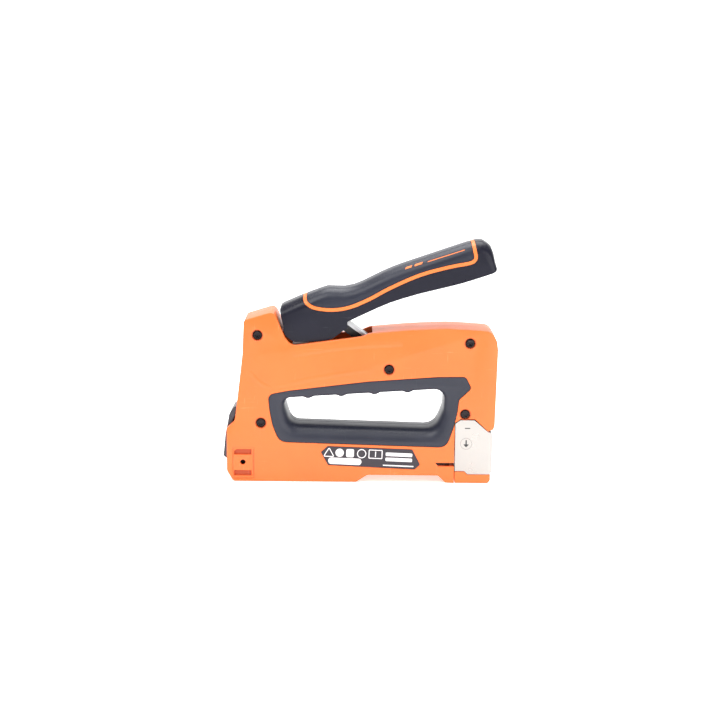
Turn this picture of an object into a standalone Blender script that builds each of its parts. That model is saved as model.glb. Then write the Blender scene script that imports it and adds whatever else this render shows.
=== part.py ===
"""A hand staple gun whose lever is squeezed forward, as an assembly of its real pieces.

All sizes are in millimetres, and MM turns them into metres where a mesh is made. X runs forward to the
nose, Z runs up from the base and Y runs across, so the right side of the tool is at -Y. The outlines
are drawn in the X-Z plane and are hung on a few anchors: REAR, FRONT and SEAM along X, and FLOOR, ROOF
and TOP along Z, so a piece follows the size that it fits to.
"""

import math

import bmesh
import bpy
import numpy as np
from mathutils import Vector

MM = 0.001

# Driving sizes.
OVERALL_LENGTH = 188.8
BODY_WIDTH = 34.0
SIDE_WALL = 3.3
EDGE_WALL = 3.0
FILLET = 1.8
GAP = 0.3
RUNNING_GAP = 0.15
SEAM_GAP = 0.3

# Finger opening, grip and beam above it.
OPENING_FLOOR = 38.6
OPENING_HEIGHT = 23.7
BEAM_HEIGHT = 43.2
GRIP_LINER = 2.2
GRIP_PAD = 1.8
INNER_RING = 2.4
ROLL_TOP = 2.2
ROLL_BOTTOM = 9.0
RIDGE_COUNT = 4
RIDGE_HEIGHT = 1.2
RIDGE_WIDTH = 7.6

# Rear latch, nose and base.
LATCH_PROUD = 2.9
LATCH_WIDTH = 20.0
NOSE_DEPTH = 28.8
RAISED_BASE = 5.0
PLATE_THICKNESS = 1.2
PLATE_SETBACK = 2.2
PLATE_BEND = 4.0
FOOT_HEIGHT = 6.0

# Lever and its steel frame.
LEVER_WIDTH = 26.0
LEVER_LENGTH = 131.3
LEVER_SIDE_GAP = 0.7
LEVER_CROWN = 8.0
LEVER_SKIN = 2.4
CROWN_CLEARANCE = 0.02
ROOT_RADIUS = 11.6
TRIM_WIDTH = 2.7
TRIM_DEPTH = 1.6
STEEL = 1.5
BRACKET_CLEARANCE = 1.0
FRAME_CLEARANCE = 2.2
PIVOT_PIN_RADIUS = 2.4

# Link, rocker, plunger and power spring.
LINK_CLEARANCE = 2.0
LINK_RADIUS = 3.6
LINK_PIN_RADIUS = 1.5
LINK_LENGTH = 25.4
LINK_DROP = math.radians(36.2)
OPEN_PIVOT_GAP = 0.9
ROCKER_HALF = 8.9
ROCKER_PLATE = 1.8
ROCKER_PIN_RADIUS = 2.0
PLUNGER_TRAVEL = 14.4
YOKE_HALF = 6.0
YOKE_WALL = 1.4
BLADE_WIDTH = 12.4
BLADE_THICKNESS = 1.0
POWER_SPRING_WIRE = 1.4
POWER_SPRING_RADIUS = 4.1
POWER_SPRING_TURNS = 9

# Magazine.
CHANNEL_HALF = 7.0
CHANNEL_SHEET = 1.0
CHANNEL_HEIGHT = 12.0
CHANNEL_FLOOR = 8.6
ROD_RADIUS = 1.6
FOLLOWER_LENGTH = 12.0
FOLLOWER_SPRING_WIRE = 0.8
FOLLOWER_SPRING_TURNS = 16

# Fasteners.
SCREW_HEAD_RADIUS = 3.1
SCREW_RADIUS = 1.4
COUNTERBORE_RADIUS = 3.6
COUNTERBORE_DEPTH = 2.4
BOSS_RADIUS = 3.8

# Anchors that follow from the sizes above.
HALF = BODY_WIDTH / 2
INNER = HALF - SIDE_WALL
REAR = -OVERALL_LENGTH / 2 + LATCH_PROUD
FRONT = OVERALL_LENGTH / 2
SEAM = FRONT - NOSE_DEPTH
FLOOR = OPENING_FLOOR
ROOF = FLOOR + OPENING_HEIGHT
TOP = ROOF + BEAM_HEIGHT
OPENING_REAR = REAR + 39.6
OPENING_FRONT = FRONT - 36.1
LEVER_HALF = LEVER_WIDTH / 2
SLOT_HALF = LEVER_HALF + LEVER_SIDE_GAP
BRACKET_HALF = LEVER_HALF - LEVER_SKIN - BRACKET_CLEARANCE
FRAME_HALF = BRACKET_HALF - FRAME_CLEARANCE
LINK_HALF = FRAME_HALF - LINK_CLEARANCE
PIVOT = (REAR + 50.3, TOP + 3.3)
SLOT_END = PIVOT[0] + 49.5
LINK_PIN = (PIVOT[0] + 28.7, PIVOT[1] + 0.7)
ROCKER_EYE = (
    LINK_PIN[0] + LINK_LENGTH * math.cos(LINK_DROP),
    LINK_PIN[1] - LINK_LENGTH * math.sin(LINK_DROP),
)
PLUNGER_X = FRONT - 11.0
ROCKER_PIN = (ROCKER_EYE[0] + 0.336 * (PLUNGER_X - ROCKER_EYE[0]), ROCKER_EYE[1] - 6.5)
PLATE_FRONT = FRONT - PLATE_SETBACK
BLADE_BACK = PLATE_FRONT - PLATE_THICKNESS - 0.7 - BLADE_THICKNESS
LATCH_PIVOT = (REAR + 6.4, 33.0)
ROD_Z = CHANNEL_FLOOR + 0.62 * CHANNEL_HEIGHT
CAP_FRONT = REAR + 12.0
CAP_HALF = LATCH_WIDTH / 2 - 1.0
SCREWS = {
    "screw_horn": (REAR + 21.3, TOP - 3.0),
    "screw_beam": (ROCKER_EYE[0] + 12.0, ROOF + 17.1),
    "screw_front_top": (FRONT - 19.2, TOP - 7.5),
    "screw_rear": (REAR + 23.6, FLOOR + 2.8),
    "screw_front_low": (FRONT - 21.7, FLOOR + 9.9),
}


# ---------------------------------------------------------------- outlines


def rounded(corners, step=22.5):
    """Points of a closed outline, from (x, z, radius) corners. A radius is limited by its two sides."""
    points = []
    count = len(corners)
    for index, (x, z, radius) in enumerate(corners):
        here = Vector((x, z))
        back = Vector(corners[index - 1][:2]) - here
        ahead = Vector(corners[(index + 1) % count][:2]) - here
        opening = back.angle(ahead)
        turn = math.pi - opening
        if radius <= 0 or turn < 0.01:
            points.append((x, z))
            continue
        reach = min(radius / math.tan(opening / 2), 0.48 * back.length, 0.48 * ahead.length)
        radius = reach * math.tan(opening / 2)
        middle = (back.normalized() + ahead.normalized()).normalized()
        centre = here + middle * (radius / math.sin(opening / 2))
        start = here + back.normalized() * reach - centre
        end = here + ahead.normalized() * reach - centre
        steps = max(2, math.ceil(math.degrees(turn) / step))
        sweep = math.atan2(start.cross(end), start.dot(end))
        for part in range(steps + 1):
            angle = sweep * part / steps
            cosine = math.cos(angle)
            sine = math.sin(angle)
            points.append(
                (centre.x + start.x * cosine - start.y * sine, centre.y + start.x * sine + start.y * cosine)
            )
    return points


def spaced(points, longest):
    """The outline with extra points, so that no side is longer than this."""
    result = []
    for index, (x, z) in enumerate(points):
        next_x, next_z = points[(index + 1) % len(points)]
        pieces = max(1, math.ceil(math.hypot(next_x - x, next_z - z) / longest))
        for part in range(pieces):
            share = part / pieces
            result.append((x + (next_x - x) * share, z + (next_z - z) * share))
    return result


def outward(points):
    """Unit normals of an anticlockwise outline, one for each point."""
    loop = np.array(points)
    before = loop - np.roll(loop, 1, axis=0)
    after = np.roll(loop, -1, axis=0) - loop
    before /= np.linalg.norm(before, axis=1)[:, None]
    after /= np.linalg.norm(after, axis=1)[:, None]
    along = before + after
    normals = np.stack([along[:, 1], -along[:, 0]], axis=1)
    return normals / np.linalg.norm(normals, axis=1)[:, None]


def disc(centre, radius, count=28):
    """Points of a circle."""
    angles = np.arange(count) * 2 * math.pi / count
    return [(centre[0] + radius * math.cos(a), centre[1] + radius * math.sin(a)) for a in angles]


def strip(start, end, radius, step=18.0):
    """Outline of a flat bar with round ends."""
    along = (Vector(end) - Vector(start)).normalized()
    across = Vector((-along.y, along.x)) * radius
    tip = along * radius
    ends = (
        Vector(start) - tip - across,
        Vector(end) + tip - across,
        Vector(end) + tip + across,
        Vector(start) - tip + across,
    )
    return rounded([(point.x, point.y, radius * 0.999) for point in ends], step)


def between(low, high, share):
    return low + (high - low) * share


# ---------------------------------------------------------------- solids


def solid(name, vertices, faces):
    """A mesh object from points in millimetres, with every face turned outward."""
    mesh = bpy.data.meshes.new(name)
    mesh.from_pydata([tuple(float(value) * MM for value in point) for point in vertices], [], faces)
    shape = bmesh.new()
    shape.from_mesh(mesh)
    bmesh.ops.recalc_face_normals(shape, faces=shape.faces)
    shape.to_mesh(mesh)
    shape.free()
    obj = bpy.data.objects.new(name, mesh)
    bpy.context.scene.collection.objects.link(obj)
    return obj


def loft(name, loops):
    """A closed solid through loops that all have the same number of (x, y, z) points."""
    count = len(loops[0])
    vertices = [point for loop in loops for point in loop]
    faces = [list(range(count)), list(range(len(vertices) - count, len(vertices)))]
    for row in range(len(loops) - 1):
        for index in range(count):
            ahead = (index + 1) % count
            first = row * count
            second = first + count
            faces.append([first + index, first + ahead, second + ahead, second + index])
    return solid(name, vertices, faces)


def prism(name, points, low, high):
    """An outline in the X-Z plane, extruded along Y."""
    return loft(name, [[(x, y, z) for x, z in points] for y in (low, high)])


def block(name, x_range, y_range, z_range):
    rear, front = x_range
    low, high = z_range
    return prism(name, [(rear, low), (front, low), (front, high), (rear, high)], *y_range)


def rod(name, start, end, radius, count=24):
    """A round bar between two points."""
    along = (Vector(end) - Vector(start)).normalized()
    side = along.orthogonal().normalized()
    other = along.cross(side)
    loops = []
    for centre in (start, end):
        loop = []
        for index in range(count):
            angle = 2 * math.pi * index / count
            loop.append(Vector(centre) + (side * math.cos(angle) + other * math.sin(angle)) * radius)
        loops.append(loop)
    return loft(name, loops)


def sweep(name, route, wire, sides=6):
    """Round wire along a route of points, with flat ends."""
    route = [Vector(point) for point in route]
    loops = []
    side = None
    for index, point in enumerate(route):
        along = (route[min(index + 1, len(route) - 1)] - route[max(index - 1, 0)]).normalized()
        side = along.orthogonal() if side is None else side - along * side.dot(along)
        side = side.normalized()
        other = along.cross(side)
        turns = [2 * math.pi * part / sides for part in range(sides)]
        loops.append([point + (side * math.cos(a) + other * math.sin(a)) * wire / 2 for a in turns])
    return loft(name, loops)


def helix(start, end, radius, turns, per_turn=10):
    """Points of a coil about the straight line between two points."""
    start = Vector(start)
    along = Vector(end) - start
    side = along.orthogonal().normalized()
    other = along.normalized().cross(side)
    steps = int(turns * per_turn)
    route = []
    for index in range(steps + 1):
        angle = 2 * math.pi * index / per_turn
        centre = start + along * (index / steps)
        route.append(centre + (side * math.cos(angle) + other * math.sin(angle)) * radius)
    return route


def combine(base, tool, operation):
    modifier = base.modifiers.new(operation.title(), "BOOLEAN")
    modifier.object = tool
    modifier.operation = operation
    modifier.solver = "EXACT"
    graph = bpy.context.evaluated_depsgraph_get()
    mesh = bpy.data.meshes.new_from_object(base.evaluated_get(graph))
    base.modifiers.remove(modifier)
    spent = base.data
    base.data = mesh
    bpy.data.meshes.remove(spent)
    bpy.data.objects.remove(tool)
    return base


def cut(base, *tools):
    for tool in tools:
        combine(base, tool, "DIFFERENCE")
    return base


def join(base, *tools):
    for tool in tools:
        combine(base, tool, "UNION")
    return base


def overlap(base, tool):
    return combine(base, tool, "INTERSECT")


def upright_at(x_place, y_place):
    """A test for the two upright edges at this place along X and this far out on both sides."""
    return lambda x, y, z: abs(x - x_place) < 0.01 and abs(abs(y) - y_place) < 0.01


def round_edges(obj, width, segments, chosen):
    """Rounds the edges whose two ends, in millimetres, both pass the test."""
    shape = bmesh.new()
    shape.from_mesh(obj.data)
    edges = [edge for edge in shape.edges if all(chosen(*(vertex.co / MM)) for vertex in edge.verts)]
    bmesh.ops.bevel(
        shape,
        geom=edges,
        offset=width * MM,
        offset_type="OFFSET",
        segments=segments,
        profile=0.5,
        affect="EDGES",
        clamp_overlap=True,
    )
    shape.to_mesh(obj.data)
    shape.free()
    return obj


def mirrored(obj):
    """Reflects a solid in the mid-plane, keeping its faces turned outward."""
    shape = bmesh.new()
    shape.from_mesh(obj.data)
    for vertex in shape.verts:
        vertex.co.y = -vertex.co.y
    bmesh.ops.reverse_faces(shape, faces=shape.faces)
    shape.to_mesh(obj.data)
    shape.free()
    return obj


def paint(obj, colour, roughness, metallic=0.0):
    material = bpy.data.materials.new(obj.name)
    material.use_nodes = True
    surface = material.node_tree.nodes["Principled BSDF"]
    surface.inputs["Base Color"].default_value = (*colour, 1.0)
    surface.inputs["Roughness"].default_value = roughness
    surface.inputs["Metallic"].default_value = metallic
    material.diffuse_color = (*colour, 1.0)
    obj.data.materials.clear()
    obj.data.materials.append(material)
    obj.data.shade_smooth()
    obj.data.set_sharp_from_angle(angle=math.radians(35))
    return obj


def orange(obj):
    return paint(obj, (0.92, 0.20, 0.02), 0.45)


def dark_plastic(obj):
    return paint(obj, (0.035, 0.038, 0.048), 0.5)


def rubber(obj):
    return paint(obj, (0.045, 0.05, 0.062), 0.75)


def steel(obj):
    return paint(obj, (0.72, 0.71, 0.69), 0.3, 1.0)


def black_steel(obj):
    return paint(obj, (0.03, 0.03, 0.035), 0.4, 0.8)


# ---------------------------------------------------------------- housing


def body_outline():
    """Side outline of both housing halves, anticlockwise from the rear of the base."""
    crown = FRONT - 9.4
    return rounded(
        [
            (REAR + 4.6, 0.0, 2.5),
            (PIVOT[0] + 39.2, 0.0, 3.0),
            (PIVOT[0] + 46.9, RAISED_BASE, 3.0),
            (SEAM - 10.9, RAISED_BASE, 2.0),
            (SEAM - 5.9, 0.0, 2.0),
            (SEAM, 0.0, 0.0),
            (SEAM, FLOOR + 3.8, 0.0),
            (SEAM + 3.9, FLOOR + 6.4, 1.0),
            (SEAM + 14.0, FLOOR + 6.4, 1.5),
            (FRONT - 6.0, FLOOR - 2.0, 0.8),
            (FRONT - 2.0, FLOOR - 0.7, 1.4),
            (FRONT - 1.2, FLOOR + 2.6, 2.0),
            (FRONT, TOP - 12.0, 8.0),
            (FRONT - 0.8, TOP - 6.0, 5.0),
            (FRONT - 4.9, TOP + 1.0, 7.0),
            (between(SLOT_END, crown, 0.82), TOP + 2.1, 60.0),
            (between(SLOT_END, crown, 0.66), TOP + 2.6, 60.0),
            (between(SLOT_END, crown, 0.33), TOP + 1.4, 60.0),
            (SLOT_END - 2.0, TOP - 1.1, 10.0),
            (SLOT_END - 7.0, TOP - 3.4, 10.0),
            (PIVOT[0] - 5.9, TOP - 10.2, 6.0),
            (PIVOT[0] - 10.3, TOP - 4.4, 8.0),
            (PIVOT[0] - 18.0, TOP + 13.6, 4.0),
            (REAR + 12.0, TOP + 7.2, 3.0),
            (REAR + 11.0, ROOF + 26.2, 40.0),
            (REAR + 6.8, FLOOR + 13.7, 2.0),
            (REAR + 6.0, FLOOR + 7.0, 2.0),
            (REAR + 5.2, FLOOR + 3.3, 2.5),
            (REAR, FLOOR - 1.4, 2.5),
            (REAR, 7.4, 3.0),
        ]
    )


def opening_corners(with_ridges):
    """Corners of the finger opening at mid-width, anticlockwise."""
    roof_front = (OPENING_FRONT, ROOF + 3.8)
    roof_rear = (OPENING_REAR + 1.9, ROOF - 3.4)
    corners = [
        (OPENING_REAR + 4.4, FLOOR + 1.2, 8.0),
        (OPENING_FRONT - 6.4, FLOOR - 1.3, 10.0),
        (OPENING_FRONT - 0.7, FLOOR + 12.4, 12.0),
        (*roof_front, 8.0),
    ]
    if with_ridges:
        spacing = (roof_front[0] - roof_rear[0]) / (RIDGE_COUNT + 0.75)
        slope = (roof_front[1] - roof_rear[1]) / (roof_front[0] - roof_rear[0])
        for number in reversed(range(RIDGE_COUNT)):
            middle = roof_rear[0] + spacing * (number + 0.65)
            for offset, drop in ((0.5, 0.0), (0.14, 1.0), (-0.14, 1.0), (-0.5, 0.0)):
                x = middle + offset * RIDGE_WIDTH
                corners.append((x, roof_rear[1] + slope * (x - roof_rear[0]) - drop * RIDGE_HEIGHT, 2.5))
    corners += [(*roof_rear, 4.0), (OPENING_REAR, FLOOR + 15.8, 6.0)]
    return corners


def roll_radii(normals, less):
    """The rolled edge is wide on the floor, where the hand passes, and narrow on the roof."""
    return np.maximum(between(ROLL_TOP, ROLL_BOTTOM, (1 - normals[:, 1]) / 2) - less, 0.6)


def opening_roll(points, growth, less, face):
    """Loops of a plug through the opening, from past mid-width to past the side face at -Y."""
    normals = outward(points)
    radii = roll_radii(normals, less)
    angles = np.radians([0, 30, 60, 90])
    base = np.array(points)

    def loop(spread, y):
        moved = base + normals * np.broadcast_to(spread, len(base))[:, None]
        return [(x, depth, z) for (x, z), depth in zip(moved, np.broadcast_to(y, len(base)))]

    loops = [loop(growth, 1.0)]
    for angle in angles:
        loops.append(loop(growth + radii * (1 - math.cos(angle)), -(face - radii) - radii * math.sin(angle)))
    loops.append(loop(growth + radii, -(face + 3.0)))
    return loops


def island_outline(points):
    """The housing's inner ring around the opening, as far out as the rolled edge spreads."""
    normals = outward(points)
    radii = roll_radii(normals, 1.0)
    depth = INNER - (HALF - GRIP_PAD - radii)
    sine = np.clip((depth + 0.4) / radii, 0, 1)
    spread = radii * (1 - np.sqrt(1 - sine**2))
    grown = np.array(points) + normals * (GRIP_LINER + GAP + INNER_RING + spread)[:, None]
    return [tuple(point) for point in grown]


def grip_outline(growth=0.0):
    """Outer edge of the soft grip on the side face."""
    outline = rounded(
        [
            (OPENING_REAR - 3.2, FLOOR - 10.4, 7.0),
            (OPENING_FRONT + 1.6, FLOOR - 13.4, 7.0),
            (OPENING_FRONT + 6.6, FLOOR + 1.2, 25.0),
            (OPENING_FRONT + 8.9, FLOOR + 11.6, 15.0),
            (OPENING_FRONT + 9.8, ROOF - 3.6, 3.0),
            (OPENING_FRONT + 18.2, ROOF + 4.4, 2.5),
            (OPENING_FRONT + 14.3, ROOF + 12.3, 3.0),
            (OPENING_FRONT - 5.0, ROOF + 12.0, 60.0),
            (between(OPENING_REAR, OPENING_FRONT, 0.53), ROOF + 8.5, 60.0),
            (OPENING_REAR + 3.0, ROOF + 1.6, 40.0),
            (OPENING_REAR - 11.0, ROOF - 1.2, 4.0),
            (OPENING_REAR - 9.8, FLOOR + 11.3, 20.0),
            (OPENING_REAR - 7.9, FLOOR + 1.5, 20.0),
        ]
    )
    if growth:
        grown = np.array(outline) + outward(outline) * growth
        return [tuple(point) for point in grown]
    return outline


def cavity_outline():
    """The hollow that both halves share, anticlockwise, open at the top where the lever enters."""
    wall = EDGE_WALL
    return rounded(
        [
            (REAR + 6.2, wall, 1.0),
            (PIVOT[0] + 38.2, wall, 2.0),
            (PIVOT[0] + 45.8, RAISED_BASE + wall, 2.0),
            (SEAM - wall, RAISED_BASE + wall, 1.0),
            (SEAM - wall, FLOOR + 6.0, 2.0),
            (SEAM + 1.0, FLOOR + 9.4, 2.0),
            (FRONT - wall - 1.0, FLOOR + 9.4, 1.0),
            (FRONT - wall, TOP - 16.0, 1.0),
            (FRONT - wall - 2.4, TOP - 7.6, 1.0),
            (FRONT - wall - 4.8, TOP - 3.6, 1.0),
            (between(SLOT_END, FRONT, 0.5), TOP - 1.4, 20.0),
            (SLOT_END, TOP - 3.6, 0.0),
            (SLOT_END, TOP + 8.0, 0.0),
            (PIVOT[0] - 12.6, TOP + 30.0, 0.0),
            (PIVOT[0] - 12.4, TOP - 2.0, 0.0),
            (PIVOT[0] - 14.0, ROOF + 28.0, 2.0),
            (REAR + 14.0, ROOF + 26.0, 3.0),
            (REAR + 10.4, FLOOR + 16.0, 2.0),
            (REAR + 9.4, FLOOR + 2.0, 2.0),
            (REAR + wall, FLOOR - 3.2, 2.0),
            (REAR + wall, 8.6, 2.0),
        ]
    )


def horn_hollow():
    """The hollow in the horn behind the lever, around its screw boss."""
    return rounded(
        [
            (REAR + 13.8, ROOF + 29.0, 2.0),
            (PIVOT[0] - 17.0, ROOF + 29.0, 2.0),
            (PIVOT[0] - 18.6, TOP + 8.6, 2.0),
            (REAR + 15.4, TOP + 4.0, 2.0),
        ]
    )


def grip_plug(name, points, pad_growth, growth):
    """The space that the grip fills in the housing: its pad on the face and its liner in the opening."""
    plug = loft(name, opening_roll(points, GRIP_LINER + growth, 1.0 - growth, HALF - GRIP_PAD))
    overlap(plug, block("face_limit", (REAR, FRONT), (-(HALF - GRIP_PAD) - 0.01, 2.0), (0, TOP)))
    pad = prism("pad", grip_outline(pad_growth), -(HALF + 1.0), -(HALF - GRIP_PAD - growth))
    return join(plug, pad)


def screw_bores(shell, seen_side):
    """Bosses with their bores. The counterbores are on the right half, where the screws go in."""
    for x, z in SCREWS.values():
        join(shell, prism("boss", disc((x, z), BOSS_RADIUS, 16), -(INNER + 1.0), -SEAM_GAP / 2))
    for x, z in SCREWS.values():
        bore = disc((x, z), SCREW_RADIUS + GAP, 12)
        if seen_side:
            cut(shell, prism("bore", bore, -(HALF + 1.0), 1.0))
            head = disc((x, z), COUNTERBORE_RADIUS, 24)
            cut(shell, prism("counterbore", head, -(HALF + 1.0), -(HALF - COUNTERBORE_DEPTH)))
        else:
            cut(shell, prism("bore", bore, -9.0, 1.0))


def side_details(shell):
    """The magazine window, the two finger slots and the small hole low on the side."""
    window = [(SEAM - 13.0, 14.2), (SEAM - 11.2, 11.7), (SEAM + 1.0, 11.7), (SEAM + 1.0, 14.2)]
    cut(shell, prism("window", window, -(HALF + 1.0), -CHANNEL_HALF))
    rear = REAR + 4.9
    front = rear + 12.2
    upper = [
        (rear, 18.7, 0.3),
        (front, 18.7, 0.3),
        (front, 22.6, 0.6),
        (rear + 2.0, 22.6, 1.0),
        (rear, 21.2, 0.6),
    ]
    lower = [(rear, 3.8, 0.3), (front, 3.8, 0.3), (front, 7.7, 0.5), (rear, 7.7, 0.5)]
    panel = [
        (rear - 0.9, 1.8, 1.0),
        (front + 2.2, 1.8, 1.0),
        (front + 2.2, 24.4, 1.0),
        (rear - 0.9, 24.4, 1.0),
    ]
    cut(shell, prism("side_panel", rounded(panel), -(HALF + 1.0), -(HALF - 0.8)))
    for outline in (upper, lower):
        cut(shell, prism("finger_slot", rounded(outline), -(HALF + 1.0), -(HALF - 2.4)))
    cut(shell, prism("stop_hole", disc((REAR + 11.1, 13.4), 1.9, 16), -(HALF + 1.0), -(HALF - 5.4)))


def rocker_bearing(shell):
    """A blind boss for the rocker's pin."""
    x, z = ROCKER_PIN
    boss = disc((x, z), ROCKER_PIN_RADIUS + 2.2, 16)
    join(shell, prism("bearing", boss, -(INNER + 1.0), -(ROCKER_HALF + 0.8)))
    bore = disc((x, z), ROCKER_PIN_RADIUS + RUNNING_GAP, 16)
    cut(shell, prism("bearing_bore", bore, -(INNER + 0.8), -1.0))


def lever_slot():
    """The open slot in the top that the lever sinks into, rounded at its front end in plan."""
    corners = [
        (PIVOT[0] - 30.0, -SLOT_HALF, 0.0),
        (SLOT_END, -SLOT_HALF, 8.0),
        (SLOT_END, SLOT_HALF, 8.0),
        (PIVOT[0] - 30.0, SLOT_HALF, 0.0),
    ]
    plan = rounded(corners)
    slot = loft("slot", [[(x, y, z) for x, y in plan] for z in (TOP - 12.0, TOP + 40.0)])
    keep_horn = [
        (PIVOT[0] - 12.6, TOP - 20.0),
        (SLOT_END + 20.0, TOP - 20.0),
        (SLOT_END + 20.0, TOP + 30.0),
        (PIVOT[0] - 21.4, TOP + 30.0),
        (PIVOT[0] - 12.6, TOP - 1.0),
    ]
    return overlap(slot, prism("ahead_of_horn", keep_horn, -HALF * 2, HALF * 2))


def housing(name, seen_side):
    shell = prism(name, body_outline(), -HALF, -SEAM_GAP / 2)
    round_edges(shell, FILLET, 3, lambda x, y, z: y < -HALF + 0.01 and abs(x - SEAM) > 0.01)
    smooth_opening = spaced(rounded(opening_corners(False)), 20.0)
    hollow = prism("hollow", cavity_outline(), -INNER, 1.0)
    cut(hollow, prism("island", island_outline(smooth_opening), -HALF, 2.0))
    cut(shell, hollow)
    cut(shell, prism("horn_hollow", horn_hollow(), -INNER, 1.0))
    screw_bores(shell, seen_side)
    rocker_bearing(shell)
    cut(shell, lever_slot())
    cut(shell, grip_plug("grip_space", smooth_opening, GAP, GAP))
    channel = (-(CHANNEL_HALF + GAP), 1.0)
    cut(shell, block("magazine_way", (SEAM - 12.0, SEAM + 2.0), channel, (CHANNEL_FLOOR - GAP, 22.0)))
    rear_way = (-(LATCH_WIDTH / 2 + GAP), 1.0)
    cut(shell, block("rear_way", (REAR - 4.0, REAR + 12.0), rear_way, (CHANNEL_FLOOR - GAP, FLOOR + 15.4)))
    blade_way = (-(BLADE_WIDTH / 2 + GAP), 1.0)
    blade_x = (BLADE_BACK - 1.0, FRONT - EDGE_WALL - 0.2)
    cut(shell, block("blade_way", blade_x, blade_way, (FLOOR - 8.0, FLOOR + 12.0)))
    side_details(shell)
    if seen_side:
        cut(shell, prism("label_recess", label_outline(GAP), -(HALF + 1.0), -(HALF - 0.6)))
    else:
        mirrored(shell)
    return orange(shell)


def label_outline(growth=0.0):
    """The slanted label low on the right side."""
    outline = rounded(
        [
            (PIVOT[0] + 19.8, 12.1, 1.0),
            (SEAM - 27.3, 9.5, 1.0),
            (SEAM - 23.6, 12.8, 1.0),
            (SEAM - 29.0, 23.4, 1.0),
            (PIVOT[0] + 19.5, 25.3, 1.0),
            (PIVOT[0] + 14.8, 21.1, 1.0),
        ]
    )
    return [tuple(point) for point in np.array(outline) + outward(outline) * growth]


def label_plate():
    return dark_plastic(prism("label_plate", label_outline(), -(HALF - 0.05), -(HALF - 0.3)))


def grip(name, seen_side):
    """One soft half: a pad on the side face that rolls over into the lining of the opening."""
    smooth_opening = spaced(rounded(opening_corners(False)), 20.0)
    cover = grip_plug(name, smooth_opening, 0.0, 0.0)
    overlap(cover, block("limits", (REAR, FRONT), (-HALF, -SEAM_GAP / 2), (0, TOP + 20)))
    ridged = spaced(rounded(opening_corners(True)), 20.0)
    cut(cover, loft("hand_space", opening_roll(ridged, 0.0, 0.0, HALF)))
    if not seen_side:
        mirrored(cover)
    return rubber(cover)


def screw(name, x, z):
    """Socket-head screw: head in the counterbore, shank through both bosses."""
    seat = -(HALF - COUNTERBORE_DEPTH) - 0.1
    shank = prism(name, disc((x, z), SCREW_RADIUS, 12), seat - 0.6, 7.5)
    join(shank, prism("head", disc((x, z), SCREW_HEAD_RADIUS, 20), seat - 1.7, seat))
    socket = disc((x, z), 1.5, 6)
    return black_steel(cut(shank, prism("socket", socket, seat - 3.0, seat - 0.7)))


# ---------------------------------------------------------------- nose


def nose_plate():
    """Folded steel cover: a front face and two side flanges under the housing's front edge."""
    low = FOOT_HEIGHT + GAP
    inner = FLOOR + 5.8
    side = [
        (SEAM + 0.5, low + 2.2),
        (SEAM + 7.2, low + 2.2),
        (SEAM + 9.3, low),
        (PLATE_FRONT, low),
        (PLATE_FRONT, FLOOR - 2.7),
        (FRONT - 5.4, FLOOR - 2.7),
        (SEAM + 13.7, inner),
        (SEAM + 4.0, inner),
        (SEAM + 0.5, inner - 2.4),
    ]
    plate = prism("nose_plate", side, -HALF, HALF)
    round_edges(plate, PLATE_BEND, 5, upright_at(PLATE_FRONT, HALF))
    inside = HALF - PLATE_THICKNESS
    back = PLATE_FRONT - PLATE_THICKNESS
    space = block("inside", (SEAM - 5, back), (-inside, inside), (-5, TOP))
    round_edges(space, PLATE_BEND - PLATE_THICKNESS, 5, upright_at(back, inside))
    return steel(cut(plate, space))


def nose_base():
    """The plastic foot under the plate, with the core that the plate folds around."""
    front = PLATE_FRONT - 1.6
    foot = [
        (SEAM + 0.5, 0.0, 0.8),
        (front - 1.8, 0.0, 1.6),
        (front, 2.2, 1.8),
        (front, FOOT_HEIGHT, 0.0),
        (SEAM + 9.2, FOOT_HEIGHT, 0.0),
        (SEAM + 7.1, FOOT_HEIGHT + 2.1, 0.0),
        (SEAM + 0.5, FOOT_HEIGHT + 2.1, 0.0),
    ]
    base = prism("nose_base", rounded(foot), -HALF, HALF)
    core_half = HALF - PLATE_THICKNESS - GAP
    core_front = PLATE_FRONT - PLATE_THICKNESS - GAP
    core = [
        (SEAM + 0.9, FOOT_HEIGHT - 1.0),
        (core_front, FOOT_HEIGHT + 0.4),
        (core_front, FLOOR - 3.0),
        (FRONT - 6.4, FLOOR - 3.0),
        (SEAM + 13.5, FLOOR + 5.4),
        (SEAM + 4.2, FLOOR + 5.4),
        (SEAM + 0.9, FLOOR + 3.0),
    ]
    filling = prism("core", core, -core_half, core_half)
    round_edges(filling, PLATE_BEND - PLATE_THICKNESS, 3, upright_at(core_front, core_half))
    join(base, filling)
    guide_half = BLADE_WIDTH / 2 + 2.4 + GAP
    cut(base, block("guide_space", (BLADE_BACK - 4.6, FRONT), (-guide_half, guide_half), (-1.0, TOP)))
    way = CHANNEL_HALF + GAP
    cut(base, block("magazine_way", (SEAM - 1, FRONT), (-way, way), (CHANNEL_FLOOR - GAP, 22.0)))
    return orange(base)


def driver_guide():
    """Steel channel that the driver blade runs down, closed in front by the nose plate."""
    half = BLADE_WIDTH / 2 + 2.4
    back = BLADE_BACK - 4.2
    front = PLATE_FRONT - PLATE_THICKNESS - GAP
    guide = block("driver_guide", (back, front), (-half, half), (0.6, FLOOR - 3.0))
    way = BLADE_WIDTH / 2 + RUNNING_GAP * 2
    cut(guide, block("blade_way", (BLADE_BACK - RUNNING_GAP * 2, FRONT), (-way, way), (-1, TOP)))
    staple_half = CHANNEL_HALF - CHANNEL_SHEET
    staples = block("staple_way", (back - 1, FRONT), (-staple_half, staple_half), (CHANNEL_FLOOR + 1.0, 20.6))
    return steel(cut(guide, staples))


# ---------------------------------------------------------------- lever


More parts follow.
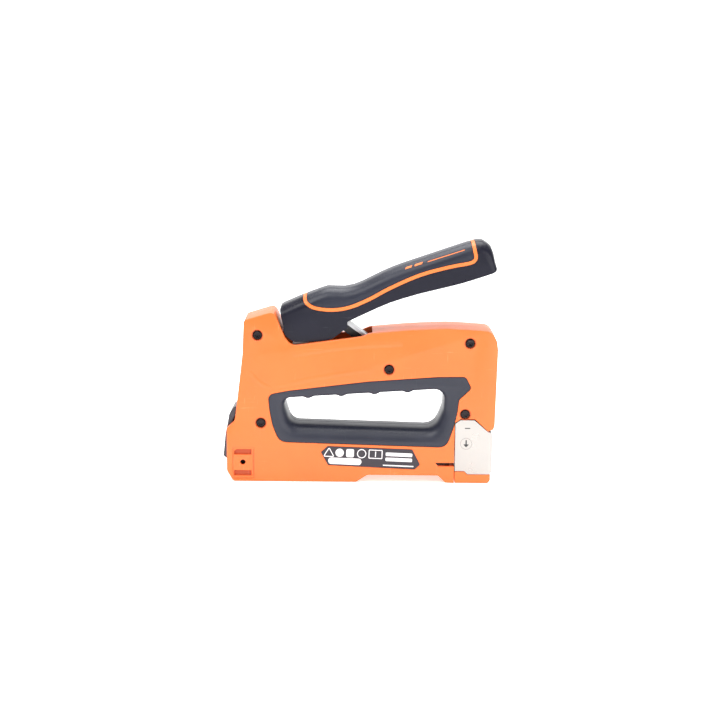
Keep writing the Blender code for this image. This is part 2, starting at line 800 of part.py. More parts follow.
def lever_point(x, z):
    """A point of the lever, given from its pivot, stretched with the lever's length past the root."""
    root = 34.0
    stretch = (LEVER_LENGTH - root) / (131.3 - root)
    if x > root:
        rise = (x - root) * (stretch - 1) * 0.27
        return PIVOT[0] + root + (x - root) * stretch, PIVOT[1] + z + rise
    return PIVOT[0] + x, PIVOT[1] + z


def drawn_in(corners, distance):
    """The corners of an anticlockwise outline moved inward, with their radii matched."""
    result = []
    for index, (x, z, radius) in enumerate(corners):
        here = Vector((x, z))
        arriving = (here - Vector(corners[index - 1][:2])).normalized()
        leaving = (Vector(corners[(index + 1) % len(corners)][:2]) - here).normalized()
        middle = (arriving + leaving).normalized()
        inward = Vector((-middle.y, middle.x))
        moved = here + inward * (distance / max(middle.dot(leaving), 0.3))
        convex = arriving.cross(leaving) > 0
        result.append((moved.x, moved.y, max(radius - distance if convex else radius + distance, 0.5)))
    return result


def lever_corners():
    corners = [
        (-4.2, -ROOT_RADIUS, 4.0),
        (14.4, -10.7, 3.0),
        (21.6, -9.3, 2.0),
        (32.8, -1.0, 1.5),
        (32.2, 2.8, 1.5),
        (61.1, 16.6, 120.0),
        (81.7, 22.8, 150.0),
        (110.6, 30.0, 200.0),
        (131.3, 37.0, 2.0),
        (134.1, 38.9, 2.5),
        (130.6, 54.6, 7.0),
        (123.0, 59.6, 6.0),
        (111.0, 56.0, 60.0),
        (81.5, 45.8, 200.0),
        (60.8, 38.6, 120.0),
        (38.8, 27.2, 40.0),
        (29.5, 25.2, 20.0),
        (18.6, 26.0, 10.0),
        (1.0, 19.3, 40.0),
        (-14.2, 12.6, 3.5),
        (-13.0, 5.6, 8.0),
        (-ROOT_RADIUS, 0.0, 6.0),
        (-ROOT_RADIUS + 0.6, -6.4, 8.0),
    ]
    return [(*lever_point(x, z), radius) for x, z, radius in corners]


def trim_line():
    """The middle of the coloured line: it drops at the rear, runs along the side and rises at the tip."""
    corners = [
        lever_point(x, z)
        for x, z in (
            (3.6, 60.0),
            (3.4, 30.0),
            (3.0, 18.4),
            (5.4, 14.4),
            (11.0, 11.8),
            (22.0, 10.8),
            (33.8, 12.7),
            (47.2, 18.4),
            (61.0, 26.0),
            (81.6, 35.3),
            (102.2, 41.1),
            (114.8, 43.6),
            (118.6, 45.6),
            (119.5, 48.4),
            (118.4, 54.0),
            (117.4, 62.0),
            (117.4, 90.0),
        )
    ]
    return smoothed(corners, 3)


def smoothed(points, pieces):
    """An open line through the same points as a smooth curve, with each side cut into pieces."""
    line = np.array(points)
    slopes = np.gradient(line, axis=0)
    share = np.arange(pieces)[:, None] / pieces
    curve = []
    for start, end, leaving, arriving in zip(line, line[1:], slopes, slopes[1:]):
        turned = 3 * share**2 - 2 * share**3
        bulge = (share - 2 * share**2 + share**3) * leaving + (share**3 - share**2) * arriving
        curve.append(start + (end - start) * turned + bulge)
    return [*(tuple(point) for part in curve for point in part), tuple(line[-1])]


def offset_line(points, distance):
    """An open line moved sideways, to its left for a positive distance."""
    line = np.array(points)
    along = np.gradient(line, axis=0)
    along /= np.linalg.norm(along, axis=1)[:, None]
    normals = np.stack([-along[:, 1], along[:, 0]], axis=1)
    return [tuple(point) for point in line + normals * distance]


def above_line(distance):
    """The outline of everything inside the trim line, moved inward by a distance."""
    return offset_line(trim_line(), distance)


def crowned(name, corners, half, crown):
    """A lever shape: its side outline, with a top that rounds down to both sides and to the tip."""
    outline = np.array(rounded(corners, 7.0))
    low_x = outline[:, 0].min()
    high_x = outline[:, 0].max()
    angles = np.radians(np.linspace(0, 90, 7))
    across = np.concatenate([[-half], -(half - crown) - crown * np.cos(angles)])
    drop = np.concatenate([[0.0], crown * (1 - np.sin(angles))])
    across = np.concatenate([across, -across[::-1]])
    drop = np.concatenate([drop, drop[::-1]])
    ahead = np.roll(outline, -1, axis=0)
    loops = []
    for share in np.linspace(0.05, 0.95, 32):
        x = between(low_x, high_x, 0.5 - 0.5 * math.cos(math.pi * share))
        crossing = (outline[:, 0] <= x) != (ahead[:, 0] <= x)
        start = outline[crossing]
        end = ahead[crossing]
        top = (start[:, 1] + (end[:, 1] - start[:, 1]) * (x - start[:, 0]) / (end[:, 0] - start[:, 0])).max()
        heights = top + CROWN_CLEARANCE - drop
        heights[[0, -1]] = PIVOT[1] - 60.0
        loops.append([(x, y, z) for y, z in zip(across, heights)])
    for loop, x in ((0, low_x - 2.0), (-1, high_x + 2.0)):
        loops.insert(len(loops) if loop else 0, [(x, y, z) for _, y, z in loops[loop]])
    form = loft(name, loops)
    return overlap(form, prism("side_outline", outline, -half * 1.5, half * 1.5))


def lever_blank(name):
    """The lever's full outer shape, which its shell, cover and coloured line are cut from."""
    return crowned(name, lever_corners(), LEVER_HALF, LEVER_CROWN)


def cover_space(name, growth):
    """The saddle cut from the lever for the soft cover and its trim, outside a hard core."""
    outer = above_line(-TRIM_WIDTH / 2 - growth)
    whole = prism(name, outer, -LEVER_HALF * 2, LEVER_HALF * 2)
    inner = lever_top_core(growth)
    return cut(whole, inner)


def lever_top_core(growth):
    """The hard core inside the saddle: the lever's outline drawn in by the cover's thickness."""
    depth = TRIM_DEPTH + growth
    return crowned("core", drawn_in(lever_corners(), depth), LEVER_HALF - depth, LEVER_CROWN - depth)


def shell_hollow():
    """The channel under the lever, for its steel frame, the bracket and the link."""
    half = LEVER_HALF - LEVER_SKIN
    corners = [
        (-30.0, -40.0, 0.0),
        (-30.0, 8.0, 0.0),
        (-9.5, 8.0, 2.0),
        (-6.0, 11.0, 2.0),
        (30.0, 14.0, 10.0),
        (60.0, 25.0, 30.0),
        (104.0, 37.0, 3.0),
        (108.0, 20.0, 0.0),
        (60.0, -30.0, 0.0),
    ]
    outline = rounded([(*lever_point(x, z), radius) for x, z, radius in corners])
    return prism("hollow", outline, -half, half)


def lever_shell():
    shell = lever_blank("lever_shell")
    cut(shell, cover_space("cover_space", 0.0))
    return dark_plastic(cut(shell, shell_hollow()))


def lever_cover():
    """The soft top of the lever, inside the coloured line."""
    cover = lever_blank("lever_cover")
    overlap(cover, prism("inside_line", above_line(TRIM_WIDTH / 2 + GAP), -LEVER_HALF * 2, LEVER_HALF * 2))
    return rubber(cut(cover, lever_top_core(-GAP)))


def lever_trim():
    """The coloured line between shell and cover: along both sides and across the top at both ends."""
    trim = lever_blank("lever_trim")
    line = prism("line", above_line(-TRIM_WIDTH / 2 + GAP), -LEVER_HALF * 2, LEVER_HALF * 2)
    cut(line, prism("inside", above_line(TRIM_WIDTH / 2), -LEVER_HALF * 3, LEVER_HALF * 3))
    overlap(trim, line)
    return orange(cut(trim, lever_top_core(-GAP)))


def lever_frame():
    """Steel channel inside the lever that carries the pivot pin and the link's pin."""
    side = [
        (-5.0, -5.0, 5.0),
        (12.0, -4.6, 3.0),
        (28.7, -3.0, 3.5),
        (33.0, 4.0, 3.0),
        (60.0, 19.0, 20.0),
        (96.0, 30.0, 2.0),
        (96.0, 33.0, 2.0),
        (60.0, 23.2, 20.0),
        (30.0, 12.0, 10.0),
        (-2.0, 9.0, 3.0),
        (-5.4, 3.0, 4.0),
    ]
    outline = rounded([(*lever_point(x, z), radius) for x, z, radius in side])
    frame = prism("lever_frame", outline, -FRAME_HALF, FRAME_HALF)
    below = [(-30, -40), (-30, 5.6), (0, 6.6), (30, 10.2), (60, 21.4), (110, 35.2), (110, -40)]
    inside = FRAME_HALF - STEEL
    cut(frame, prism("inside", [lever_point(x, z) for x, z in below], -inside, inside))
    cut(frame, pin_hole(PIVOT, PIVOT_PIN_RADIUS), pin_hole(LINK_PIN, LINK_PIN_RADIUS - RUNNING_GAP / 2))
    return steel(frame)


def pin_hole(centre, radius, gap=RUNNING_GAP):
    return prism("pin_hole", disc(centre, radius + gap, 24), -HALF, HALF)


def pivot_bracket():
    """Steel bracket that stands in the housing, inside the lever's root, and holds the pivot pin."""
    half = BRACKET_HALF
    foot = ROOF + 3.6
    cheek = [
        (PIVOT[0] - 7.0, foot, 1.0),
        (PIVOT[0] + 9.0, foot, 1.0),
        (PIVOT[0] + 5.0, PIVOT[1] - 12.0, 10.0),
        (PIVOT[0] + 5.0, PIVOT[1] + 5.0, 5.0),
        (PIVOT[0] - 5.0, PIVOT[1] + 5.0, 5.0),
        (PIVOT[0] - 5.0, PIVOT[1] - 12.0, 10.0),
    ]
    bracket = prism("pivot_bracket", rounded(cheek), -half, half)
    inside = half - STEEL
    cut(bracket, block("inside", (REAR, FRONT), (-inside, inside), (foot + STEEL, TOP + 20)))
    foot_half = INNER - GAP
    foot_x = (PIVOT[0] - 8.0, PIVOT[0] + 10.0)
    join(bracket, block("foot", foot_x, (-foot_half, foot_half), (foot - 0.2, foot + STEEL)))
    return steel(cut(bracket, pin_hole(PIVOT, PIVOT_PIN_RADIUS, 0.1)))


def pivot_pin():
    reach = LEVER_HALF - LEVER_SKIN - GAP
    x, z = PIVOT
    return steel(rod("pivot_pin", (x, -reach, z), (x, reach, z), PIVOT_PIN_RADIUS))


def return_spring():
    """Torsion spring around the pivot pin, one arm under the lever's frame and one on the bracket."""
    wire = 1.1
    radius = PIVOT_PIN_RADIUS + wire
    reach = FRAME_HALF - STEEL - 1.8
    coil = helix((PIVOT[0], -reach, PIVOT[1]), (PIVOT[0], reach, PIVOT[1]), radius, 5.5, 10)
    first = coil[0] + (coil[0] - coil[1]).normalized() * 3.8
    last = coil[-1] + (coil[-1] - coil[-2]).normalized() * 3.8
    return steel(sweep("return_spring", [first, *coil, last], wire, 5))


# ---------------------------------------------------------------- link, rocker and plunger


def link():
    """Folded steel link from the lever to the rocker, its web on the upper side."""
    bar = prism("link", strip(LINK_PIN, ROCKER_EYE, LINK_RADIUS), -LINK_HALF, LINK_HALF)
    along = (Vector(ROCKER_EYE) - Vector(LINK_PIN)).normalized()
    across = Vector((-along.y, along.x))
    inside = LINK_HALF - STEEL
    low = Vector(LINK_PIN) - along * 12 + across * (LINK_RADIUS - STEEL)
    high = Vector(ROCKER_EYE) + along * 12 + across * (LINK_RADIUS - STEEL)
    below = [low, low - across * 20, high - across * 20, high]
    cut(bar, prism("inside", [tuple(point) for point in below], -inside, inside))
    for centre in (LINK_PIN, ROCKER_EYE):
        clear = disc(centre, LINK_RADIUS + 1.6, 20)
        cut(bar, prism("end", clear, -inside, inside))
    cut(bar, pin_hole(LINK_PIN, LINK_PIN_RADIUS))
    return steel(cut(bar, pin_hole(ROCKER_EYE, LINK_PIN_RADIUS, OPEN_PIVOT_GAP)))


def link_pin():
    reach = LEVER_HALF - LEVER_SKIN - GAP
    x, z = LINK_PIN
    return black_steel(rod("link_pin", (x, -reach, z), (x, reach, z), LINK_PIN_RADIUS, 20))


def rocker():
    """Steel channel on its own pin: the link pushes its rear down and its fork lifts the plunger."""
    x, z = ROCKER_PIN
    eye_x, eye_z = ROCKER_EYE
    tip = PLUNGER_X
    corners = [
        (eye_x - 3.0, eye_z - 3.0, 3.0),
        (eye_x + 10.0, eye_z - 5.2, 10.0),
        (x, z - 4.6, 8.0),
        (tip - 9.5, z - 14.0, 4.0),
        (tip - 0.6, z - 8.8, 2.0),
        (tip - 0.6, z - 5.6, 1.8),
        (tip - 4.0, z - 5.8, 1.0),
        (tip - 9.8, z - 9.0, 4.0),
        (x, z + 4.6, 8.0),
        (eye_x + 10.0, eye_z + 0.8, 10.0),
        (eye_x - 3.0, eye_z + 3.0, 3.0),
    ]
    body = prism("rocker", rounded(corners), -ROCKER_HALF, ROCKER_HALF)
    inside = ROCKER_HALF - ROCKER_PLATE
    web_rear = eye_x + 10.0
    web_front = tip - 18.0
    for low, high in ((REAR, web_rear), (web_front, FRONT)):
        cut(body, block("open_end", (low, high), (-inside, inside), (0, TOP + 20)))
    web = [
        (web_rear - 1, eye_z - 1.0),
        (x, z + 3.0),
        (web_front + 1, z - 4.4),
        (web_front + 1, 0),
        (web_rear - 1, 0),
    ]
    cut(body, prism("under_web", web, -inside, inside))
    cut(body, pin_hole(ROCKER_PIN, ROCKER_PIN_RADIUS))
    return steel(cut(body, pin_hole(ROCKER_EYE, LINK_PIN_RADIUS, 0.05)))


def rocker_pin():
    x, z = ROCKER_PIN
    reach = INNER - 0.4
    return steel(rod("rocker_pin", (x, -reach, z), (x, reach, z), ROCKER_PIN_RADIUS))


def rocker_link_pin():
    x, z = ROCKER_EYE
    reach = ROCKER_HALF + 0.6
    return black_steel(rod("rocker_link_pin", (x, -reach, z), (x, reach, z), LINK_PIN_RADIUS, 20))


def yoke_range():
    """Lower and upper ends of the plunger's yoke."""
    return FLOOR + 11.4, ROCKER_PIN[1] - 2.0


def plunger():
    """Yoke around the power spring. Its two lugs rest over the rocker's fork."""
    low, high = yoke_range()
    back = PLUNGER_X - POWER_SPRING_RADIUS
    front = PLUNGER_X + POWER_SPRING_RADIUS - 0.7
    yoke = block("plunger", (back, front), (-YOKE_HALF, YOKE_HALF), (low, high))
    join(yoke, block("foot", (front - 1, BLADE_BACK - GAP), (-YOKE_HALF, YOKE_HALF), (low, low + 4.0)))
    inside = YOKE_HALF - YOKE_WALL
    cut(yoke, block("spring_way", (back - 1, front + 1), (-inside, inside), (low + 4.0, high + 1)))
    lug_x = (back + 0.4, PLUNGER_X + 1.0)
    for side in (-1, 1):
        ends = sorted((side * (YOKE_HALF - 0.5), side * (ROCKER_HALF + 0.4)))
        join(yoke, block("lug", lug_x, ends, (high - 3.2, high)))
    stub = rod("stub", (PLUNGER_X, 0, low + 3), (PLUNGER_X, 0, low + 8.0), 2.2, 16)
    return black_steel(join(yoke, stub))


def driver_blade():
    """Flat steel blade that pushes the staple out. It hangs in front of the yoke's foot."""
    low, _ = yoke_range()
    half = BLADE_WIDTH / 2
    x_range = (BLADE_BACK, BLADE_BACK + BLADE_THICKNESS)
    return steel(block("driver_blade", x_range, (-half, half), (1.0, low + 3.6)))


def power_spring():
    low, _ = yoke_range()
    bottom = low + 4.0 + POWER_SPRING_WIRE
    radius = POWER_SPRING_RADIUS - POWER_SPRING_WIRE / 2
    top = seat_height() - POWER_SPRING_WIRE
    route = helix((PLUNGER_X, 0, bottom), (PLUNGER_X, 0, top), radius, POWER_SPRING_TURNS, 8)
    return steel(sweep("power_spring", route, POWER_SPRING_WIRE, 5))


def seat_height():
    return yoke_range()[1] + PLUNGER_TRAVEL + 0.4


def spring_seat():
    """Fixed cap that the power spring pushes against, under the roof of the front column."""
    low = seat_height()
    back = PLUNGER_X - POWER_SPRING_RADIUS
    front = PLUNGER_X + POWER_SPRING_RADIUS - 0.4
    seat = block("spring_seat", (back, front), (-YOKE_HALF, YOKE_HALF), (low, TOP - EDGE_WALL - 1.8))
    return dark_plastic(join(seat, rod("stub", (PLUNGER_X, 0, low - 4), (PLUNGER_X, 0, low + 1), 2.2, 16)))


def bumper():
    """Soft stop under the yoke that takes the blow at the end of the stroke."""
    low, _ = yoke_range()
    x_range = (PLUNGER_X - POWER_SPRING_RADIUS, BLADE_BACK - 1.4)
    return rubber(block("bumper", x_range, (-YOKE_HALF, YOKE_HALF), (FLOOR + 9.4 + GAP, low - GAP)))


# ---------------------------------------------------------------- magazine


def magazine_channel():
    """Open steel channel for the staples, from behind the latch block to the driver guide."""
    front = BLADE_BACK - 4.2 - GAP
    back = CAP_FRONT + GAP
    roof = CHANNEL_FLOOR + CHANNEL_HEIGHT
    channel = block("magazine_channel", (back, front), (-CHANNEL_HALF, CHANNEL_HALF), (CHANNEL_FLOOR, roof))
    inside = CHANNEL_HALF - CHANNEL_SHEET
    hollow_z = (CHANNEL_FLOOR + CHANNEL_SHEET, roof + 1)
    cut(channel, block("inside", (back - 1, front + 1), (-inside, inside), hollow_z))
    return steel(channel)


def magazine_cap():
    """Block at the rear end of the pusher, with ears for the latch's pin and a socket for the rod."""
    low = CHANNEL_FLOOR
    x, z = LATCH_PIVOT
    outline = rounded(
        [
            (REAR + 4.2, low, 1.0),
            (CAP_FRONT, low, 1.0),
            (CAP_FRONT, z - 4.0, 2.0),
            (x + 3.2, z + 3.2, 3.0),
            (x - 3.0, z + 3.2, 3.0),
            (x - 2.6, z - 6.0, 2.0),
        ]
    )
    cap = prism("magazine_cap", outline, -CAP_HALF, CAP_HALF)
    ears = CAP_HALF - 3.0
    cut(cap, block("between_ears", (REAR - 5, CAP_FRONT + 5), (-ears, ears), (z - 6.0, FLOOR + 20)))
    cut(cap, prism("pin_hole", disc(LATCH_PIVOT, 1.3 + 0.1, 20), -HALF, HALF))
    spring_x, spring_z = latch_spring_place()
    cut(cap, rod("pocket", (REAR, 0, spring_z), (spring_x + 3.2, 0, spring_z), 2.5, 16))
    start = (CAP_FRONT - 5.4, 0, ROD_Z)
    return dark_plastic(cut(cap, rod("socket", start, (CAP_FRONT + 1, 0, ROD_Z), ROD_RADIUS + 0.1, 20)))


def magazine_latch():
    """Rocking latch at the rear: its top is pressed in and its lower end swings out."""
    x, z = LATCH_PIVOT
    outline = rounded(
        [
            (REAR + 0.4, 13.6, 1.0),
            (REAR + 3.4, 13.6, 1.0),
            (REAR + 3.4, z - 6.0, 2.0),
            (x - 3.4, z, 0.5),
            (x - 3.2, z + 6.0, 2.0),
            (REAR + 5.6, FLOOR + 7.0, 3.0),
            (REAR + 7.0, FLOOR + 13.0, 1.0),
            (REAR + 4.2, FLOOR + 12.2, 2.0),
            (REAR + 1.2, FLOOR + 7.0, 3.0),
            (REAR + 0.2, FLOOR + 1.0, 3.0),
            (REAR - 1.3, FLOOR - 6.0, 20.0),
            (REAR - LATCH_PROUD, 16.4, 1.5),
        ]
    )
    half = LATCH_WIDTH / 2
    latch = prism("magazine_latch", outline, -half, half)
    ears = CAP_HALF - 3.0 - GAP
    join(latch, prism("hub", rounded(hub_outline(), 20), -ears, ears))
    return dark_plastic(cut(latch, prism("pin_hole", disc(LATCH_PIVOT, 1.3 + RUNNING_GAP, 20), -HALF, HALF)))


def hub_outline():
    """The latch's eye around its pin."""
    x, z = LATCH_PIVOT
    rear = x - 4.4
    front = x + 3.2
    return [(rear, z - 3.2, 0.0), (front, z - 3.2, 3.0), (front, z + 3.2, 3.0), (rear, z + 3.2, 0.0)]


def latch_pin():
    x, z = LATCH_PIVOT
    return steel(rod("latch_pin", (x, -(CAP_HALF - 0.3), z), (x, CAP_HALF - 0.3, z), 1.3, 20))


def latch_spring():
    """Small coil between the block and the latch's lower end."""
    x, z = latch_spring_place()
    return steel(sweep("latch_spring", helix((x, 0, z), (x + 2.6, 0, z), 1.8, 3.5, 8), 0.5, 4))


def latch_spring_place():
    return REAR + 3.4 + GAP + 0.25, LATCH_PIVOT[1] - 8.6


def pusher_rod():
    tip = BLADE_BACK - 20.0
    return steel(rod("pusher_rod", (CAP_FRONT - 5.0, 0, ROD_Z), (tip, 0, ROD_Z), ROD_RADIUS, 16))


def follower_front():
    return BLADE_BACK - 22.0


def follower():
    """Block that slides on the rod and pushes the staples forward."""
    front = follower_front()
    inside = CHANNEL_HALF - CHANNEL_SHEET - GAP
    low = CHANNEL_FLOOR + CHANNEL_SHEET + GAP
    x_range = (front - FOLLOWER_LENGTH, front)
    piece = block("follower", x_range, (-inside, inside), (low, CHANNEL_FLOOR + CHANNEL_HEIGHT - GAP))
    way = rod("rod_way", (x_range[0] - 1, 0, ROD_Z), (x_range[1] + 1, 0, ROD_Z), ROD_RADIUS + RUNNING_GAP, 20)
    return black_steel(cut(piece, way))


def follower_spring():
    start = (CAP_FRONT + 1.0, 0, ROD_Z)
    end = (follower_front() - FOLLOWER_LENGTH - 0.8, 0, ROD_Z)
    radius = ROD_RADIUS + FOLLOWER_SPRING_WIRE
    route = helix(start, end, radius, FOLLOWER_SPRING_TURNS, 6)
    return steel(sweep("follower_spring", route, FOLLOWER_SPRING_WIRE, 4))


# ---------------------------------------------------------------- assembly


def pivot_empty(name, x, z, pieces):
    """An empty on a joint's axis, with the pieces that move on it as its children."""
    empty = bpy.data.objects.new(name, None)
    empty.location = (x * MM, 0.0, z * MM)
    bpy.context.scene.collection.objects.link(empty)
    bpy.context.view_layer.update()
    for piece in pieces:
        piece.parent = empty
        piece.matrix_parent_inverse = empty.matrix_world.inverted()
    return empty


def clear_scene():
    for obj in list(bpy.data.objects):
        bpy.data.objects.remove(obj)


def build():
    clear_scene()
    housing("right_housing", True)
    housing("left_housing", False)
    grip("right_grip", True)
    grip("left_grip", False)
    label_plate()
    for name, (x, z) in SCREWS.items():
        screw(name, x, z)
    nose_plate()
    nose_base()
    driver_guide()
    pivot_bracket()
    pivot_pin()
    rocker_pin()
    spring_seat()
    bumper()
    magazine_channel()
    power_spring()
    lever_parts = [lever_shell(), lever_cover(), lever_trim(), lever_frame(), return_spring(), link_pin()]
    pivot_empty("lever_axis", *PIVOT, lever_parts)
    pivot_empty("link_axis", *LINK_PIN, [link()])
    pivot_empty("rocker_axis", *ROCKER_PIN, [rocker(), rocker_link_pin()])
    pivot_empty("plunger_axis", PLUNGER_X, yoke_range()[0], [plunger(), driver_blade()])
    pusher = [magazine_cap(), pusher_rod(), latch_pin(), latch_spring()]
    pivot_empty("pusher_axis", CAP_FRONT, ROD_Z, pusher)
    pivot_empty("latch_axis", *LATCH_PIVOT, [magazine_latch()])
    pivot_empty("follower_axis", follower_front(), ROD_Z, [follower(), follower_spring()])


build()
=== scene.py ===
"""Visual model of a hand staple gun: finishes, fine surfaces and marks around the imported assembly.

Lengths are in millimetres unless a comment says metres; MM turns them into metres where a mesh is
made. X runs forward to the nose, Z up from the base and Y across, so the right side of the tool is
at -Y.
"""

import logging
import math
from dataclasses import dataclass
from enum import Enum, IntEnum

import bmesh
import bpy
import numpy as np
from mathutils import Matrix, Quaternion, Vector
from mathutils.bvhtree import BVHTree


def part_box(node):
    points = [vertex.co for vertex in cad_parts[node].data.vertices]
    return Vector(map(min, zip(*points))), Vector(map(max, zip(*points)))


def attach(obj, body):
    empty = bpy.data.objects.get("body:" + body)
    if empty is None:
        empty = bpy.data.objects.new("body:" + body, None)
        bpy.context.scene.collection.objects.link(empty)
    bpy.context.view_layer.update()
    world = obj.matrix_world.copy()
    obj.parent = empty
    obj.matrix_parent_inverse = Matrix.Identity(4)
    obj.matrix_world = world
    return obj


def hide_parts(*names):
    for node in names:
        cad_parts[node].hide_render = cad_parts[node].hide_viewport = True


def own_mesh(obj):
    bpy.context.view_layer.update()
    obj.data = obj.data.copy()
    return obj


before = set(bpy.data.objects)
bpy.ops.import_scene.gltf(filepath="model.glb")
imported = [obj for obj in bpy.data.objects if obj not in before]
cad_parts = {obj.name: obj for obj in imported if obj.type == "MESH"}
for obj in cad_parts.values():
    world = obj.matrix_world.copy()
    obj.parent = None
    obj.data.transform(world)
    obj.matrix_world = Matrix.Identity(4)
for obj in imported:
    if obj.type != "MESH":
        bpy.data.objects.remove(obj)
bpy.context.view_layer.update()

logging.basicConfig(level=logging.INFO, format="%(message)s")
LOG = logging.getLogger("staple_gun")

MM = 0.001
TAU = 2 * math.pi
# Points closer than this, in metres, are merged: in a new mesh, and in a copy of a CAD node.
DOUBLES = 2e-6
CAD_DOUBLES = 4e-6
# Triangles of a CAD node that meet at less than this are one flat face.
FLAT_DEGREES = 0.4
GREY_DUST = (0.62, 0.60, 0.56, 1.0)
WHITE = (1.0, 1.0, 1.0, 1.0)


class Body(Enum):
    """The bodies of the assembly that new pieces ride on."""

    HOUSING = "housing_body"
    LEVER = "lever"
    LINK = "link"
    PUSHER = "pusher"
    LATCH = "latch"
    FOLLOWER = "follower"


class Slot(Enum):
    """The record's material slots, named for new pieces; nothing here gives a piece its slot."""

    HOUSING = "housing"
    GRIP = "grip"
    LABEL = "label"
    SCREWS = "screws"
    NOSE_PLATE = "nose_plate"
    NOSE_BASE = "nose_base"
    SPRINGS = "springs"
    LEVER_SHELL = "lever_shell"
    LEVER_COVER = "lever_cover"
    LEVER_TRIM = "lever_trim"
    LINK = "link"
    LATCH = "latch"


class Axis(IntEnum):
    """A direction of the assembly, as its place in (x, y, z)."""

    X = 0
    Y = 1
    Z = 2


# ---------------------------------------------------------------- places read from the assembly


def low_corner(node: str) -> np.ndarray:
    """Lowest corner of a CAD node in millimetres."""
    return np.array(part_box(node)[0]) / MM


def high_corner(node: str) -> np.ndarray:
    """Highest corner of a CAD node in millimetres."""
    return np.array(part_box(node)[1]) / MM


def middle(node: str) -> np.ndarray:
    """Centre of a CAD node's box in millimetres."""
    return (low_corner(node) + high_corner(node)) / 2


# ---------------------------------------------------------------- mesh making


def surface(
    name: str, grid: np.ndarray, closed_u: bool = False, closed_v: bool = False, caps: bool = False
) -> bpy.types.Object:
    """Makes a mesh object from a grid of points.

    The surface is P(u, v) = grid[u, v]: neighbours along u and along v make one four-sided face.

    Args:
        name: Name of the new object.
        grid: Points in millimetres, with shape (count_u, count_v, 3).
        closed_u: Whether the last row joins the first.
        closed_v: Whether the last column joins the first.
        caps: Whether each end of u is closed by a face over all of v.

    Returns:
        The object, at the origin, with outward normals and smooth faces.
    """
    rows, columns = grid.shape[:2]
    numbers = np.arange(rows * columns).reshape(rows, columns)
    if closed_u:
        numbers = np.vstack([numbers, numbers[:1]])
    if closed_v:
        numbers = np.hstack([numbers, numbers[:, :1]])
    quads = np.stack([numbers[:-1, :-1], numbers[1:, :-1], numbers[1:, 1:], numbers[:-1, 1:]], axis=-1)
    faces = quads.reshape(-1, 4).tolist()
    if caps:
        faces += [numbers[0, :columns][::-1].tolist(), numbers[-1, :columns].tolist()]
    mesh = bpy.data.meshes.new(name)
    mesh.from_pydata((grid.reshape(-1, 3) * MM).tolist(), [], faces)
    obj = bpy.data.objects.new(name, mesh)
    bpy.context.scene.collection.objects.link(obj)
    return tidy_mesh(obj)


def tidy_mesh(obj: bpy.types.Object, sharp_degrees: float = 40.0) -> bpy.types.Object:
    """Merges doubles, turns the faces outwards and shades smooth up to an angle.

    Args:
        obj: The mesh object.
        sharp_degrees: Faces that meet at more than this keep a hard edge.

    Returns:
        The same object.
    """
    shape = bmesh.new()
    shape.from_mesh(obj.data)
    bmesh.ops.remove_doubles(shape, verts=shape.verts, dist=DOUBLES)
    bmesh.ops.recalc_face_normals(shape, faces=shape.faces)
    limit = math.radians(sharp_degrees)
    for face in shape.faces:
        face.smooth = True
    for edge in shape.edges:
        edge.smooth = len(edge.link_faces) == 2 and edge.calc_face_angle(0.0) < limit
    shape.to_mesh(obj.data)
    shape.free()
    return obj


def merged(node: str, name: str, bevel: float = 0.0, sharp_degrees: float = 34.0) -> bpy.types.Object:
    """A smooth-shaded copy of a CAD node, its loose triangles merged and flat areas joined.

    Args:
        node: The CAD node.
        name: Name of the new piece.
        bevel: Width in millimetres of a live bevel on the hard edges, or 0 for none.
        sharp_degrees: Faces that meet at more than this keep a hard edge.

    Returns:
        The new object.
    """
    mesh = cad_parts[node].data.copy()
    mesh.name = name
    mesh.materials.clear()
    obj = bpy.data.objects.new(name, mesh)
    bpy.context.scene.collection.objects.link(obj)
    shape = bmesh.new()
    shape.from_mesh(mesh)
    bmesh.ops.remove_doubles(shape, verts=shape.verts, dist=CAD_DOUBLES)
    bmesh.ops.dissolve_degenerate(shape, dist=DOUBLES, edges=shape.edges)
    flat = math.radians(FLAT_DEGREES)
    bmesh.ops.dissolve_limit(
        shape, angle_limit=flat, verts=shape.verts, edges=shape.edges, delimit={"NORMAL"}
    )
    shape.to_mesh(mesh)
    shape.free()
    if "custom_normal" in mesh.attributes:
        mesh.attributes.remove(mesh.attributes["custom_normal"])
    tidy_mesh(obj, sharp_degrees)
    if bevel:
        soften = obj.modifiers.new("edge_radius", "BEVEL")
        soften.width = bevel * MM
        soften.segments = 2
        soften.limit_method = "ANGLE"
        soften.angle_limit = math.radians(sharp_degrees)
        soften.harden_normals = True
        soften.use_clamp_overlap = True
    return obj


def helix_line(
    start: np.ndarray, end: np.ndarray, radius: float, turns: float, per_turn: int = 28
) -> np.ndarray:
    """Points of a coil: the straight line from start to end plus a circle about it.

    C(t) = start + t (end - start) + radius (cos 2 pi n t, sin 2 pi n t) across the line, with n turns.

    Args:
        start: Centre of the coil's first end.
        end: Centre of its last end.
        radius: Distance of the line from the axis.
        turns: Number of turns.
        per_turn: Points in each turn.

    Returns:
        The points, as rows of (x, y, z).
    """
    start, end = np.asarray(start, float), np.asarray(end, float)
    along = (end - start) / np.linalg.norm(end - start)
    helper = np.array([0.0, 1.0, 0.0]) if abs(along[1]) < 0.9 else np.array([1.0, 0.0, 0.0])
    side = np.cross(along, helper)
    side /= np.linalg.norm(side)
    other = np.cross(along, side)
    share = np.linspace(0, 1, int(turns * per_turn) + 1)[:, None]
    angle = TAU * turns * share
    return start + (end - start) * share + radius * (np.cos(angle) * side + np.sin(angle) * other)


